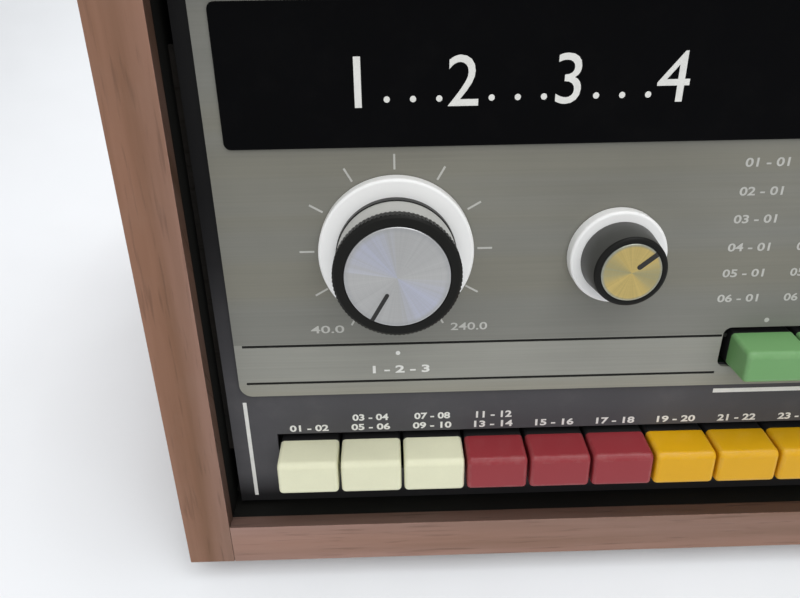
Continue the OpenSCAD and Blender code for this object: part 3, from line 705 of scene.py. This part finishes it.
def board(node, grain, edging=None, sunk=None):
    """A board between the CAD board's two ends. All but the base board lean with the panel,
    and the front rail's back edge drops square to it. Faces that look into the recess get a
    darker copy of the walnut as painted shade, and are painted black as painted shade below
    the height sunk over the panel. The base board is painted black as painted shade where the
    case shuts it in."""
    look = bpy.context.scene.rhythm_case
    low, high = box_mm(node)
    lean = 0.0 if node == "base_board" else (high.z - low.z) / math.tan(SLOPE)
    drop = (high.y - low.y - lean) / math.tan(SLOPE) if node == "front_rail" else 0.0
    outline = [(low.y, low.z), (low.y + lean, high.z), (high.y, high.z - drop),
               (high.y, low.z)]
    bm = bmesh.new()
    prism(bm, [(low.x, y, z) for y, z in outline], (high.x - low.x, 0, 0))
    bmesh.ops.recalc_face_normals(bm, faces=bm.faces)
    rounded(bm, bm.edges, look.edge_round / MM)
    depth = PANEL_ZERO.dot(PANEL_W) / MM
    if sunk is not None:
        depth += sunk
        sliced(bm, PANEL_W * depth, PANEL_W)
    bm.normal_update()
    inward = Vector((-math.copysign(1, low.x), 0, 0)) if edging else PANEL_V
    # inner is a darker walnut and painted is black: both are painted shade, in the recess and
    # inside the case
    plain, front, inner, painted = range(4)
    for face in bm.faces:
        if node == "base_board":
            shaded_inside = face.normal.z > 0.3 or face.normal.y < -0.3
            face.material_index = painted if shaded_inside else plain
        elif face.normal.dot(PANEL_W) > 0.9:
            face.material_index = front
        elif node != "top_board" and face.normal.dot(inward) > 0.9:
            deep_in_shade = sunk is not None and face.calc_center_median().dot(PANEL_W) < depth
            face.material_index = painted if deep_in_shade else inner
    # Near-black paint that stands in for the shade deep in the recess and inside the case
    black = moulded("recess_shade_black", (0.010, 0.010, 0.009), 0.7, 0.3, 0.1, 90.0, 1500.0,
                    Specular_IOR_Level=0.1)
    materials = [walnut(grain), walnut(edging or grain), walnut(grain, look.painted_recess_shade), black]
    finished(bm, node + "_veneered", "case", materials, [node], CASE)


class RHYTHM_OT_boards(bpy.types.Operator):
    """Builds the veneered boards of the case"""
    bl_idname = "rhythm.boards"
    bl_label = "Case boards"

    def execute(self, context):
        for node in ("left_side_board", "right_side_board"):
            board(node, "upright", "sloping", PAINTED_SHADE_W)
        board("top_board", "across")
        board("front_rail", "across", sunk=PAINTED_SHADE_W)
        board("base_board", "across")
        return {"FINISHED"}


def screw_heads(bm, places, head):
    """Domed screws with a cross recess, each at a matrix whose z axis leaves the head."""
    arm_half, arm_reach, recess = 0.42, 2.0, 0.9
    one = bmesh.new()
    turned(one, [(0, head), (1.1, 1.7), (2.1, 1.35), (2.8, 0.8), (3.2, 0.2), (3.2, 0),
                 (1.6, 0), (1.6, -10.5), (0, -13)], 32)
    for axis in (Vector((1, 0, 0)), Vector((0, 1, 0))):
        for side in (-arm_half, arm_half):
            sliced(one, axis * side, axis)
    one.normal_update()
    cross = []
    for face in one.faces:
        middle = face.calc_center_median()
        reach = sorted((abs(middle.x), abs(middle.y)))
        if middle.z > recess and reach[0] < arm_half and reach[1] < arm_reach:
            cross.append(face)
    pushed(one, cross, (0, 0, -recess))
    bmesh.ops.delete(one, geom=[face for face in cross if face.is_valid], context="FACES_ONLY")
    for place in places:
        joined(bm, one.copy(), place)
    one.free()


class RHYTHM_OT_rear(bpy.types.Operator):
    """Builds the rear panel's fittings, the screws and the feet"""
    bl_idname = "rhythm.rear"
    bl_label = "Rear fittings and feet"

    def execute(self, context):
        look = context.scene.rhythm_case
        paint_node("rear_panel", moulded("rear_paint", look.rear_paint, 0.55, 0.35, 0.12, 45.0,
                                         1100.0, 6e-5, dust=0.05))
        nut_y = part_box("rear_panel")[1].y - 4 * MM
        bm = node_copy("jack_sockets", look.metal_round)
        second_material(bm, lambda at: at.y > nut_y)
        finished(bm, "jack_sockets_finished", "case",
                 [black_plastic(), nickel()], ["jack_sockets"])

        rubber = moulded("black_rubber", (0.022, 0.021, 0.020), 0.75, 0.3, 0.1, 80.0, 1600.0,
                         3e-5, dust=0.12)
        plastic_round = look.metal_round * 1.6
        for node, slot, material, width, segments in (
                ("cord_gland", "socket_black", black_plastic(), plastic_round, 2),
                ("fuse_holder", "socket_black", black_plastic(), plastic_round, 2),
                ("rubber_feet", "black_rubber", rubber, look.foot_round, 3)):
            finished(node_copy(node, width, segments), node + "_finished", "case",
                     [material], [node])

        shape, places, head = merged("case_screws"), [], 1.8
        for group in islands(shape):
            low, high = (corner / MM for corner in extent(vert.co for vert in group))
            middle = (low + high) / 2
            if high.y - low.y > high.x - low.x + 1:
                at, quarters = Vector((middle.x, high.y - head, middle.z)), -1
            else:
                at, quarters = Vector((middle.x, middle.y, low.z + head)), 2
            places.append(Matrix.Translation(at)
                          @ Matrix.Rotation(math.radians(90 * quarters), 4, "X"))
        shape.free()
        bm = bmesh.new()
        screw_heads(bm, places, head)
        finished(bm, "case_screws_finished", "case", [zinc()],
                 ["case_screws"], CASE)
        return {"FINISHED"}


# Front panel

class RHYTHM_OT_panel(bpy.types.Operator):
    """Finishes the chassis panel, the fascia, the window and the lamp"""
    bl_idname = "rhythm.panel"
    bl_label = "Front panel"

    def execute(self, context):
        look = context.scene.rhythm_panel
        charcoal = moulded("charcoal_paint", look.charcoal, 0.46, 0.16, 0.1, 38.0, 1900.0,
                           2.2e-5, dust=0.03, Specular_IOR_Level=0.16)
        # Painted light and shade up the chassis: a painted shadow under the keys, a lighter
        # painted sheen over the lower part, and painted shade darkening towards the top of the
        # recess
        graded(charcoal, [(5.0, 0.25), (9.0, 0.8), (14.0, 1.3), (42.0, 1.35), (50.0, 1.25),
                          (60.0, 1.0), (74.0, 0.7), (90.0, 0.25), (110.0, 0.12),
                          (175.0, 0.12)])
        paint_node("chassis_panel", charcoal)

        fascia = brushed("brushed_fascia", look.fascia, (0.012, 1.0, 1.0), 0.46, 0.34,
                         ALONG_PANEL, Specular_IOR_Level=0.35)
        graded(fascia, [(0.0, look.band_tone), (LINES_V[1], 1.0), (170.0, 1.0)], True)
        paint_node("fascia_plate", fascia)

        gloss = moulded("black_gloss", look.window, 0.09, 0.3, 0.1, 25.0, 900.0, 5e-7,
                        dust=0.003, Specular_IOR_Level=0.04)
        low, high = panel_box("name_window")
        bm = bmesh.new()
        slab(bm, low, high, 0, high.z)
        rounded(bm, [edge for edge in bm.edges
                     if abs(edge.verts[0].co.z - edge.verts[1].co.z) > 0.1],
                look.window_corner / MM, 8)
        rounded(bm, sharp_edges(bm, 60, high.z - NEAR), look.window_round / MM, 3)
        finished(bm, "window_glossy", "case", [gloss], ["name_window"], PANEL)

        low, high = panel_box("beat_lamp")
        middle = (low + high) / 2
        bm, dome = bmesh.new(), bmesh.new()
        turned(bm, [(5.8, 0), (5.8, 0.8), (5.5, 1.1), (4.3, 1.1), (4.05, 0.8), (4.05, 0)], 64)
        turned(dome, [(0, low.z), (3.4, low.z), (3.4, 0), (4, 0), (4, 0.9), (3.8, 1.7),
                      (3.2, 2.4), (2.2, 2.95), (1.1, 3.15), (0, 3.2)], 64)
        joined(bm, dome, material=1)
        lens = moulded("red_lens", (0.42, 0.012, 0.010), 0.12, 0.15, 0.05, 200.0, 2600.0, 2e-6,
                       Coat_Weight=0.5, Coat_Roughness=0.06)
        finished(bm, "beat_lamp_finished", "case", [nickel(), lens], ["beat_lamp"],
                 PANEL @ Matrix.Translation((middle.x, middle.y, 0)))
        return {"FINISHED"}


# Keys

def key_shape(bm, low, high, plungers):
    """A key: steep back, round ridge, flat face, round lower edge, and a black foot with
    plungers behind it."""
    look = bpy.context.scene.rhythm_keys
    top = high.z
    face = high.y - low.y - KEY_SLOPE
    back = high.y - low.y - KEY_SHORT
    side = [(0, CAP_BACK), (0, top), (face, top - FACE_DROP), (back, 0), (back, CAP_BACK)]
    prism(bm, [(low.x, low.y + v, w) for v, w in side], (high.x - low.x, 0, 0))

    def along(v, w):
        place = Vector((low.y + v, w))
        return [edge for edge in bm.edges if all(
            (Vector(vert.co[1:]) - place).length < NEAR for vert in edge.verts)]
    rounded(bm, along(face, top - FACE_DROP), look.ridge_round / MM, 6)
    rounded(bm, along(0, top), look.foot_round / MM, 6)
    rims = [edge for edge in bm.edges
            if abs(edge.verts[0].co.x - edge.verts[1].co.x) < NEAR
            and any(vert.co.z > CAP_BACK + NEAR for vert in edge.verts)
            and min(abs(edge.verts[0].co.x - x) for x in (low.x, high.x)) < NEAR]
    rounded(bm, rims, look.side_round / MM, 3)
    for u in plungers:
        depth = CAP_BACK + 0.2 - low.z
        place = Matrix.Translation((u, low.y + PLUNGER_V, low.z + depth / 2))
        made = bmesh.ops.create_cone(bm, cap_ends=True, segments=32, radius1=PLUNGER_R,
                                     radius2=PLUNGER_R, depth=depth, matrix=place)
        foot = [edge for edge in bm.edges
                if all(abs(vert.co.z - low.z) < NEAR for vert in edge.verts)
                and edge.verts[0] in set(made["verts"])]
        rounded(bm, foot, PLUNGER_ROUND)
    sliced(bm, (0, 0, KEY_FOOT_W), (0, 0, 1))
    second_material(bm, lambda at: at.z < KEY_FOOT_W)


class RHYTHM_OT_keys(bpy.types.Operator):
    """Builds the push keys and the start bar"""
    bl_idname = "rhythm.keys"
    bl_label = "Keys"

    def execute(self, context):
        look = context.scene.rhythm_keys
        rows = LOWER_KEYS + [(node, "green") for node in UPPER_KEYS] + [("start_bar", "cream")]
        for node, paint_name in rows:
            low, high = panel_box(node)
            middle = (low.x + high.x) / 2
            spread = (high.x - low.x) / 6
            plungers = [middle - spread, middle + spread] if node == "start_bar" else [middle]
            bm = bmesh.new()
            key_shape(bm, low, high, plungers)
            slot = "key_" + paint_name
            plastic = moulded(slot, getattr(look, paint_name), 0.30, 0.10, 0.12, 110.0, 2200.0,
                              4e-6, wear=0.03, dust=0.01, worn=(0.85, 0.82, 0.74),
                              Specular_IOR_Level=0.35)
            finished(bm, node + "_moulded", node, [plastic, black_plastic()], [node],
                     PANEL)
        return {"FINISHED"}


# Knobs

def disc_shape(low, high):
    """White disc: a rounded upper edge, and a hollow below for the nut."""
    radius, foot, top = (high.x - low.x) / 2, low.z, high.z
    bm = bmesh.new()
    turned(bm, [(BORE_R, top), (radius, top), (radius, foot), (NUT_R, foot), (NUT_R, NUT_TOP),
                (BORE_R, NUT_TOP)], 128)
    rounded(bm, sharp_edges(bm, above=top - NEAR, outside=radius - NEAR), 0.9, 4)
    return bm


def large_knob_shape(low, high, rib_depth):
    """Large knob: a dark foot, a smooth collar, a ribbed band and a seat for the cap."""
    radius, foot, top = (high.x - low.x) / 2, low.z, high.z
    seat, cap, steps = top - SEAT_DEPTH, 13.95, 180
    collar_r, collar_foot, collar_top, band_foot = radius - 0.3, foot + 2.6, 16.9, 17.1
    bm = bmesh.new()
    turned(bm, [(BORE_R, foot), (radius, foot), (radius, foot + 2.4), (collar_r, collar_foot),
                (collar_r, collar_top), (radius, band_foot), (radius, top - 0.6),
                (radius - 0.6, top), (cap, top), (cap, seat), (0, seat),
                (0, seat - SEAT_FLOOR), (BORE_R, seat - SEAT_FLOOR)], steps)
    second_material(bm, lambda at: at.xy.length > collar_r - 0.15
                    and collar_foot < at.z < collar_top)
    ribs = []
    for face in bm.faces:
        middle = face.calc_center_median()
        if middle.xy.length > radius - 0.2 and band_foot < middle.z < top - 0.6:
            step = round(math.atan2(middle.y, middle.x) / math.tau * steps - 0.5)
            if step % 2:
                ribs.append(face)
    for face in bmesh.ops.extrude_discrete_faces(bm, faces=ribs)["faces"]:
        bmesh.ops.translate(bm, vec=-face.normal * rib_depth, verts=face.verts[:])
    rounded(bm, sharp_edges(bm, 40, top - NEAR), 0.18, 2)
    return bm


def small_knob_shape(low, high):
    """Small knob: a smooth taper with a round shoulder and a seat for the cap."""
    radius, foot, top = (high.x - low.x) / 2, low.z, high.z
    seat, cap, shoulder = top - SEAT_DEPTH, 8.35, 9.9
    bm = bmesh.new()
    turned(bm, [(BORE_R, foot), (radius, foot), (shoulder, top), (cap, top), (cap, seat),
                (0, seat), (0, seat - SEAT_FLOOR), (BORE_R, seat - SEAT_FLOOR)], 96)
    rounded(bm, sharp_edges(bm, above=top - NEAR, outside=shoulder - NEAR), 0.8, 4)
    rounded(bm, [edge for edge in sharp_edges(bm, outside=radius - NEAR)
                 if edge.verts[0].co.z < foot + NEAR], 0.3, 2)
    second_material(bm, lambda at: at.z > top - 0.9)
    return bm


def cap_shape(low, high, start, angle, width):
    """Spun cap with a bevelled rim, and an index line inlaid at a clock angle."""
    radius, foot, top = (high.x - low.x) / 2, low.z, high.z
    side, end, under = width / 2, radius - 0.1, top - 0.6
    bm, line = bmesh.new(), bmesh.new()
    turned(bm, [(0, foot), (radius, foot), (radius, top), (0, top)], 128)
    rounded(bm, sharp_edges(bm, above=top - NEAR), 0.45, 3)
    slab(line, (-side, start), (side, end), under, 0.65)
    inner_edges = [edge for edge in line.edges if all(
        abs(v.co.y - start) < NEAR for v in edge.verts)
        and abs(edge.verts[0].co.z - edge.verts[1].co.z) > 0.1]
    rounded(line, inner_edges, width * 0.48, 4)
    joined(bm, line, Matrix.Rotation(-math.radians(angle), 4, "Z"), 1)
    return bm


class RHYTHM_OT_knobs(bpy.types.Operator):
    """Builds the knobs with their discs and spun caps"""
    bl_idname = "rhythm.knobs"
    bl_label = "Knobs"

    def execute(self, context):
        look = context.scene.rhythm_knobs
        white = moulded("disc_white", look.disc, 0.36, 0.05, 0.12, 60.0, 2400.0, 3e-6,
                        wear=0.04, dust=0.02, worn=(0.62, 0.60, 0.55))
        black = moulded("knob_black", look.body, 0.34, 0.3, 0.1, 120.0, 2400.0, 6e-6,
                        Specular_IOR_Level=0.15)
        satin = moulded("knob_charcoal", (0.055, 0.056, 0.052), 0.42, 0.2, 0.1, 120.0, 2400.0,
                        5e-6)
        collar = moulded("knob_collar", look.collar, 0.38, 0.1, 0.1, 150.0, 1800.0, 4e-6,
                         Metallic=0.35)
        ink = moulded("index_paint", (0.016, 0.015, 0.014), 0.5, 0.2, 0.1, 200.0, 3000.0, 3e-6)
        steel = brushed("shaft_steel", (0.55, 0.54, 0.52), (1.0, 1.0, 0.2), 0.3, 0.25,
                        Metallic=1.0)
        for name, angle in (("tempo", 210), ("pattern", 50), ("volume", 0)):
            small = name == "pattern"
            low, high = panel_box(name + "_disc")
            middle = (low + high) / 2
            place = PANEL @ Matrix.Translation((middle.x, middle.y, 0))
            finished(disc_shape(low, high), name + "_disc_finished", name,
                     [white], [name + "_disc"], place)
            low, high = panel_box(name + "_knob")
            if small:
                bm, materials = small_knob_shape(low, high), [satin, black]
            else:
                bm = large_knob_shape(low, high, look.rib_depth / MM)
                materials = [black, collar]
            finished(bm, name + "_knob_finished", name, materials,
                     [name + "_knob"], place)
            low, high = panel_box(name + "_cap")
            centre = PANEL @ Vector((middle.x, middle.y, high.z))
            radius, line = (high.x - low.x) / 2 * MM, look.index_width / MM
            # The caps' gleam colours are painted reflection, laid by the spun material in a wedge
            # at a clock angle
            if small:
                metal = spun(name + "_cap_brass", look.brass, (0.42, 0.43, 0.36), centre,
                             radius, look.brass_dark_sheen, -80, 0.5)
                bm, slot = cap_shape(low, high, 1.8, angle, line * 1.3), "cap_brass"
            else:
                metal = spun(name + "_cap_spun", look.aluminium, (0.55, 0.55, 0.55), centre,
                             radius, look.gleam, -45, 0.3)
                bm, slot = cap_shape(low, high, 5.0, angle, line), "cap_aluminium"
            finished(bm, name + "_cap_finished", name, [metal, ink], [name + "_cap"],
                     place)
            paint_node(name + "_shaft", steel)
        return {"FINISHED"}


# Prints

def print_rise():
    return bpy.context.scene.rhythm_panel.print_rise / MM


def numerals(bm, words, u, v, w, width=None, height=PRINT_H, weight=0.03):
    """Adds plain numerals centred on (u, v), in panel millimetres."""
    curve = bpy.data.curves.new("numerals", "FONT")
    curve.body = words
    curve.align_x = "CENTER"
    curve.offset = weight
    curve.resolution_u = 4
    curve.extrude = 0.5
    holder = bpy.data.objects.new("numerals", curve)
    bpy.context.scene.collection.objects.link(holder)
    bpy.context.view_layer.update()
    ready = holder.evaluated_get(bpy.context.evaluated_depsgraph_get())
    mesh = bpy.data.meshes.new_from_object(ready)
    bpy.data.objects.remove(holder)
    bpy.data.curves.remove(curve)
    low, high = extent(vert.co for vert in mesh.vertices)
    tall = height / (high.y - low.y)
    wide = width / (high.x - low.x) if width else tall
    mesh.transform(Matrix.Translation((-(low.x + high.x) / 2, -(low.y + high.y) / 2, 0.5)))
    mesh.transform(Matrix.Diagonal((wide, tall, print_rise(), 1)))
    mesh.transform(Matrix.Translation((u, v, w)))
    bm.from_mesh(mesh)
    bpy.data.meshes.remove(mesh)
    bmesh.ops.remove_doubles(bm, verts=bm.verts, dist=0.002)


def bar(bm, low, high, w):
    slab(bm, low, high, w, print_rise())


def stroke(bm, centre, angle):
    """A scale line on the fascia at a clock angle round a knob."""
    inner, outer, width = 23.2, 27.4, 0.55
    side = Vector((math.cos(angle), -math.sin(angle)))
    reach = Vector((math.sin(angle), math.cos(angle)))
    corners = [centre + reach * r + side * s * width / 2
               for r, s in ((inner, -1), (inner, 1), (outer, 1), (outer, -1))]
    prism(bm, [(*corner, 0) for corner in corners], (0, 0, print_rise()))


def dot(bm, u, v, radius, w=0.0):
    rise = print_rise()
    place = Matrix.Translation((u, v, w + rise / 2))
    bmesh.ops.create_cone(bm, cap_ends=True, segments=24, radius1=radius, radius2=radius,
                          depth=rise, matrix=place)


def printed(bm, name, ink):
    finished(bm, name, "case", [ink], (), PANEL)


class RHYTHM_OT_prints(bpy.types.Operator):
    """Prints the scales, the key numbers, the number table and the painted lines"""
    bl_idname = "rhythm.prints"
    bl_label = "Prints"

    def execute(self, context):
        look = context.scene.rhythm_panel
        ink = moulded("white_ink", look.ink, 0.5, 0.25, 0.1, 300.0, 4200.0, 3e-6)
        faded = moulded("faded_ink", look.faded_ink, 0.55, 0.3, 0.1, 300.0, 4200.0, 3e-6)

        bm = bmesh.new()
        for name, least, most in (("tempo", "40.0", "240.0"), ("volume", "00.0", "10.0")):
            low, high = panel_box(name + "_disc")
            centre = ((low + high) / 2).xy
            for step in range(-5, 6):
                stroke(bm, centre, math.radians(30 * step))
            for words, across, width in ((least, -21, 10.0), (most, 21.5, 11.0)):
                numerals(bm, words, centre.x + across, centre.y - 25, 0, width, weight=0.01)
        printed(bm, "scale_prints", faded)

        bm = bmesh.new()
        numerals(bm, "1 - 2 - 3", TEMPO_U + 0.9, TEMPO_ROW_V, 0, width=17.6, height=2.7)
        dot(bm, TEMPO_U, TEMPO_DOT_V, 0.7)
        printed(bm, "tempo_prints", ink)

        bm = bmesh.new()
        for column, node in enumerate(UPPER_KEYS, 1):
            low, high = panel_box(node)
            u = (low.x + high.x) / 2
            for row, v in enumerate(TABLE_V, 1):
                numerals(bm, f"0{row} - 0{column}", u - TABLE_LEFT, v, 0, 12.2, weight=0.02)
            dot(bm, u, TABLE_DOT_V, 0.75)
        printed(bm, "table_prints", faded)

        bm, count = bmesh.new(), 1
        for index, (node, _) in enumerate(LOWER_KEYS):
            low, high = panel_box(node)
            rows = [(NUMBER_V, 12.6)]
            if index in TWO_LINE_KEYS:
                rows.insert(0, (SECOND_V, 11.6))
            for v, width in rows:
                numerals(bm, f"{count:02d} - {count + 1:02d}", (low.x + high.x) / 2, v,
                         CHASSIS_W, width)
                count += 2
        low, high = panel_box("start_bar")
        numerals(bm, "0 / 1", (low.x + high.x) / 2, NUMBER_V, CHASSIS_W, width=9.0)
        printed(bm, "key_number_prints", ink)

        bm = bmesh.new()
        foot, top = FRAME_V
        right = panel_box("fascia_plate")[1].x
        for u in (FRAME_U, right - FRAME_WIDTH):
            bar(bm, (u, foot), (u + FRAME_WIDTH, top), CHASSIS_W)
        rule_u = panel_box("upper_key_1")[0].x - 1.5
        bar(bm, (rule_u, RULE_V[0]), (right, RULE_V[1]), CHASSIS_W)
        printed(bm, "painted_lines", ink)

        bm = bmesh.new()
        low, high = panel_box("fascia_plate")
        left, right = panel_box("upper_key_1")[0].x - 1.6, panel_box("upper_key_4")[1].x + 1.6
        for v, past in zip(LINES_V, (2.4, 0.0)):
            for start, end in ((low.x + 2.4, left + past), (right - past, high.x - 2.4)):
                bar(bm, (start, v - LINE_WIDTH / 2), (end, v + LINE_WIDTH / 2), -LINE_DEPTH)
        filler = moulded("line_filler", (0.010, 0.010, 0.009), 0.6, 0.3, 0.1, 90.0, 3000.0,
                         Specular_IOR_Level=0.2)
        printed(bm, "line_filling", filler)

        bm = bmesh.new()
        face_w = panel_box("name_window")[1].z
        for beat in range(4):
            u = BEAT_U + BEAT_PITCH * beat
            numerals(bm, str(beat + 1), u, BEAT_V, face_w, height=BEAT_H, weight=0.0)
            for part in (1, 2, 3):
                if beat < 3:
                    dot(bm, u + BEAT_PITCH * part / 4 + 0.6, BEAT_DOT_V, 0.8, face_w)
        printed(bm, "beat_scale_print", ink)
        return {"FINISHED"}


# Inside

class RHYTHM_OT_inside(bpy.types.Operator):
    """Gives the parts inside the case their finishes"""
    bl_idname = "rhythm.inside"
    bl_label = "Inside"

    def execute(self, context):
        pine = wood("pine", (0.72, 0.52, 0.30), (0.52, 0.32, 0.15), rough=0.6, pores=0.15,
                    wear=0.0)
        # Near-black pine for the packing strips: painted shade inside the case
        shade_dark_pine = wood("pine_shade_black", (0.020, 0.017, 0.014), (0.010, 0.009, 0.008), rough=0.8,
                       pores=0.15, wear=0.0)
        # The key banks are near black: painted shade behind the key slots
        bank = moulded("bank_shade_black", (0.026, 0.025, 0.025), 0.5, 0.4, 0.15, 70.0, 1200.0,
                       1.2e-5, dust=0.06)
        can = brushed("control_can", (0.58, 0.57, 0.54), (1.0, 1.0, 0.15), 0.34, 0.3,
                      ALONG_PANEL, Metallic=1.0)
        wafer = moulded("switch_wafer", (0.22, 0.09, 0.035), 0.42, 0.35, 0.1, 160.0, 900.0)
        laminate = moulded("board_laminate", (0.035, 0.16, 0.06), 0.36, 0.5, 0.1, 190.0, 700.0,
                           1.5e-5)
        cans = moulded("component_cans", (0.03, 0.08, 0.28), 0.32, 0.35, 0.1, 240.0, 900.0,
                       8e-6)
        brass = brushed("pillar_brass", (0.68, 0.50, 0.22), (1.0, 1.0, 0.2), 0.3, 0.25,
                        Metallic=1.0)
        core = brushed("transformer_core", (0.20, 0.19, 0.18), (1.0, 0.04, 1.0), 0.5, 0.9,
                       depth=6e-5, Metallic=0.6)
        steel = brushed("spring_steel", (0.55, 0.55, 0.56), (0.1, 1.0, 1.0), 0.28, 0.3,
                        ALONG_PANEL, Metallic=1.0)
        for node, material in {
                "corner_blocks": pine, "packing_strips": shade_dark_pine, "chassis_screws": zinc(),
                "potentiometers": can, "pattern_switch": wafer, "control_nuts": nickel(),
                "lower_key_bank": bank, "upper_key_bank": bank, "key_springs": steel,
                "circuit_board": laminate, "board_components": cans, "board_pillars": brass,
                "transformer": core}.items():
            paint_node(node, material)
        return {"FINISHED"}


# Stage

def floor_cloth(look, surround):
    """Pale cloth with soft folds. It is duller away from the machine, and fades there to the
    colour of the surround, which hides its horizon."""
    cloth = moulded("floor_cloth", look.floor, 0.9, 0.02, 0.0, 6.0, 600.0,
                    Specular_IOR_Level=0.1)
    tree = cloth.node_tree
    shader = tree.nodes["Principled BSDF"]
    reach = vector(tree, "LENGTH", place_of(tree), out=1)
    tone = remap(tree, reach, *DULL_REACH, 1.0, look.surround)
    tree.links.new(tinted(tree, colour_of(shader), tone), shader.inputs["Base Color"])
    folds = put(tree, "ShaderNodeBump",
                {"Strength": 0.8, "Distance": 0.03,
                 "Height": noise(tree, place_of(tree), 6.0, 3.0, 0.4),
                 "Normal": shader.inputs["Normal"].links[0].from_socket})
    tree.links.new(folds.outputs[0], shader.inputs["Normal"])
    seen = put(tree, "ShaderNodeEmission", {"Color": surround, "Strength": 1.0})
    ray = put(tree, "ShaderNodeLightPath").outputs["Is Camera Ray"]
    far = calc(tree, "MULTIPLY", remap(tree, reach, *FADE_REACH), ray)
    fade = put(tree, "ShaderNodeMixShader",
               {0: far, 1: shader.outputs[0], 2: seen.outputs[0]})
    tree.links.new(fade.outputs[0], tree.nodes["Material Output"].inputs["Surface"])
    return cloth


def pale_room(look, surround):
    """A world that lights more from above, and shows the colour of the surround."""
    world = bpy.data.worlds.new("pale_room")
    world.use_nodes = True
    tree = world.node_tree
    tree.nodes.clear()
    ray = put(tree, "ShaderNodeLightPath").outputs
    shown = calc(tree, "MAXIMUM", ray["Is Camera Ray"],
                 calc(tree, "MAXIMUM", ray["Is Glossy Ray"], ray["Is Transmission Ray"]))
    height = put(tree, "ShaderNodeSeparateXYZ",
                 {0: put(tree, "ShaderNodeTexCoord").outputs["Generated"]}).outputs[2]
    level = remap(tree, height, 0.1, 0.95, look.ambient * 0.55, look.ambient * 2.0)
    seen = put(tree, "ShaderNodeBackground", {"Color": surround, "Strength": 1.0})
    light = put(tree, "ShaderNodeBackground", {"Color": (1.0, 1.0, 1.0, 1.0), "Strength": level})
    blend = put(tree, "ShaderNodeMixShader", {0: shown, 1: light.outputs[0], 2: seen.outputs[0]})
    put(tree, "ShaderNodeOutputWorld", {"Surface": blend.outputs[0]})
    return world


class RHYTHM_OT_stage(bpy.types.Operator):
    """Makes the floor, the lights and the camera"""
    bl_idname = "rhythm.stage"
    bl_label = "Stage"

    def execute(self, context):
        look = context.scene.rhythm_stage
        objects = context.scene.collection.objects
        surround = paint([part * look.surround for part in look.floor])
        bm = bmesh.new()
        bmesh.ops.create_grid(bm, x_segments=1, y_segments=1, size=12.0)
        mesh = bpy.data.meshes.new("floor")
        bm.to_mesh(mesh)
        bm.free()
        floor = bpy.data.objects.new("floor", mesh)
        objects.link(floor)
        mesh.materials.append(floor_cloth(look, surround))
        context.scene.world = pale_room(look, surround)

        aim = Vector((0, 0, 0.08))
        for name, place, size, share, tint in (
                ("front_lamp", (0.10, -0.40, 1.60), 1.3, 0.5, (1.0, 0.99, 0.97)),
                ("back_lamp", (0.38, 0.72, 1.42), 1.1, 1.5, (0.97, 0.98, 1.0))):
            lamp = bpy.data.lights.new(name, "AREA")
            lamp.size = size
            lamp.energy = look.lamp * share
            lamp.color = tint
            holder = bpy.data.objects.new(name, lamp)
            holder.location = place
            holder.rotation_euler = (aim - Vector(place)).to_track_quat("-Z", "Y").to_euler()
            objects.link(holder)

        camera = bpy.data.objects.new("camera", bpy.data.cameras.new("camera"))
        camera.data.lens = look.lens
        camera.data.sensor_width = 36.0
        camera.data.clip_start = 0.01
        # The axes and the place in the panel frame, solved from the photograph's edges
        right = TURN @ Vector((0.99961, -0.01536, 0.02322))
        forward = TURN @ Vector((0.01446, -0.42594, -0.90464))
        view = Matrix((right, right.cross(forward), -forward)).transposed().to_4x4()
        eye = PANEL @ Vector((55.07, 161.41, 176.87))
        camera.matrix_world = Matrix.Translation(eye) @ view
        objects.link(camera)
        context.scene.camera = camera
        context.scene.view_settings.view_transform = "Standard"
        return {"FINISHED"}


class RHYTHM_PT_looks(bpy.types.Panel):
    """Lists the sizes, the colours and the building steps"""
    bl_idname = "RHYTHM_PT_looks"
    bl_label = "Rhythm machine"
    bl_space_type = "VIEW_3D"
    bl_region_type = "UI"
    bl_category = "Rhythm"

    def draw(self, context):
        for holder, (kind, *steps) in PARTS.items():
            box = self.layout.box()
            for name in kind.__annotations__:
                box.prop(getattr(context.scene, holder), name)
            for step in steps:
                box.operator(step.bl_idname)


PARTS = {
    "rhythm_case": (RhythmCaseLook, RHYTHM_OT_boards, RHYTHM_OT_rear, RHYTHM_OT_inside),
    "rhythm_panel": (RhythmPanelLook, RHYTHM_OT_panel, RHYTHM_OT_prints),
    "rhythm_keys": (RhythmKeyLook, RHYTHM_OT_keys),
    "rhythm_knobs": (RhythmKnobLook, RHYTHM_OT_knobs),
    "rhythm_stage": (RhythmStageLook, RHYTHM_OT_stage),
}
CLASSES = [*(kind for kinds in PARTS.values() for kind in kinds), RHYTHM_PT_looks]


def register():
    for item in CLASSES:
        bpy.utils.register_class(item)
    for holder, kinds in PARTS.items():
        setattr(bpy.types.Scene, holder, bpy.props.PointerProperty(type=kinds[0]))


def unregister():
    for holder in PARTS:
        delattr(bpy.types.Scene, holder)
    for item in reversed(CLASSES):
        bpy.utils.unregister_class(item)


def main():
    register()
    bpy.ops.rhythm.stage()
    bpy.ops.rhythm.boards()
    bpy.ops.rhythm.rear()
    bpy.ops.rhythm.inside()
    bpy.ops.rhythm.panel()
    bpy.ops.rhythm.prints()
    bpy.ops.rhythm.keys()
    bpy.ops.rhythm.knobs()


if __name__ == "__main__":
    main()
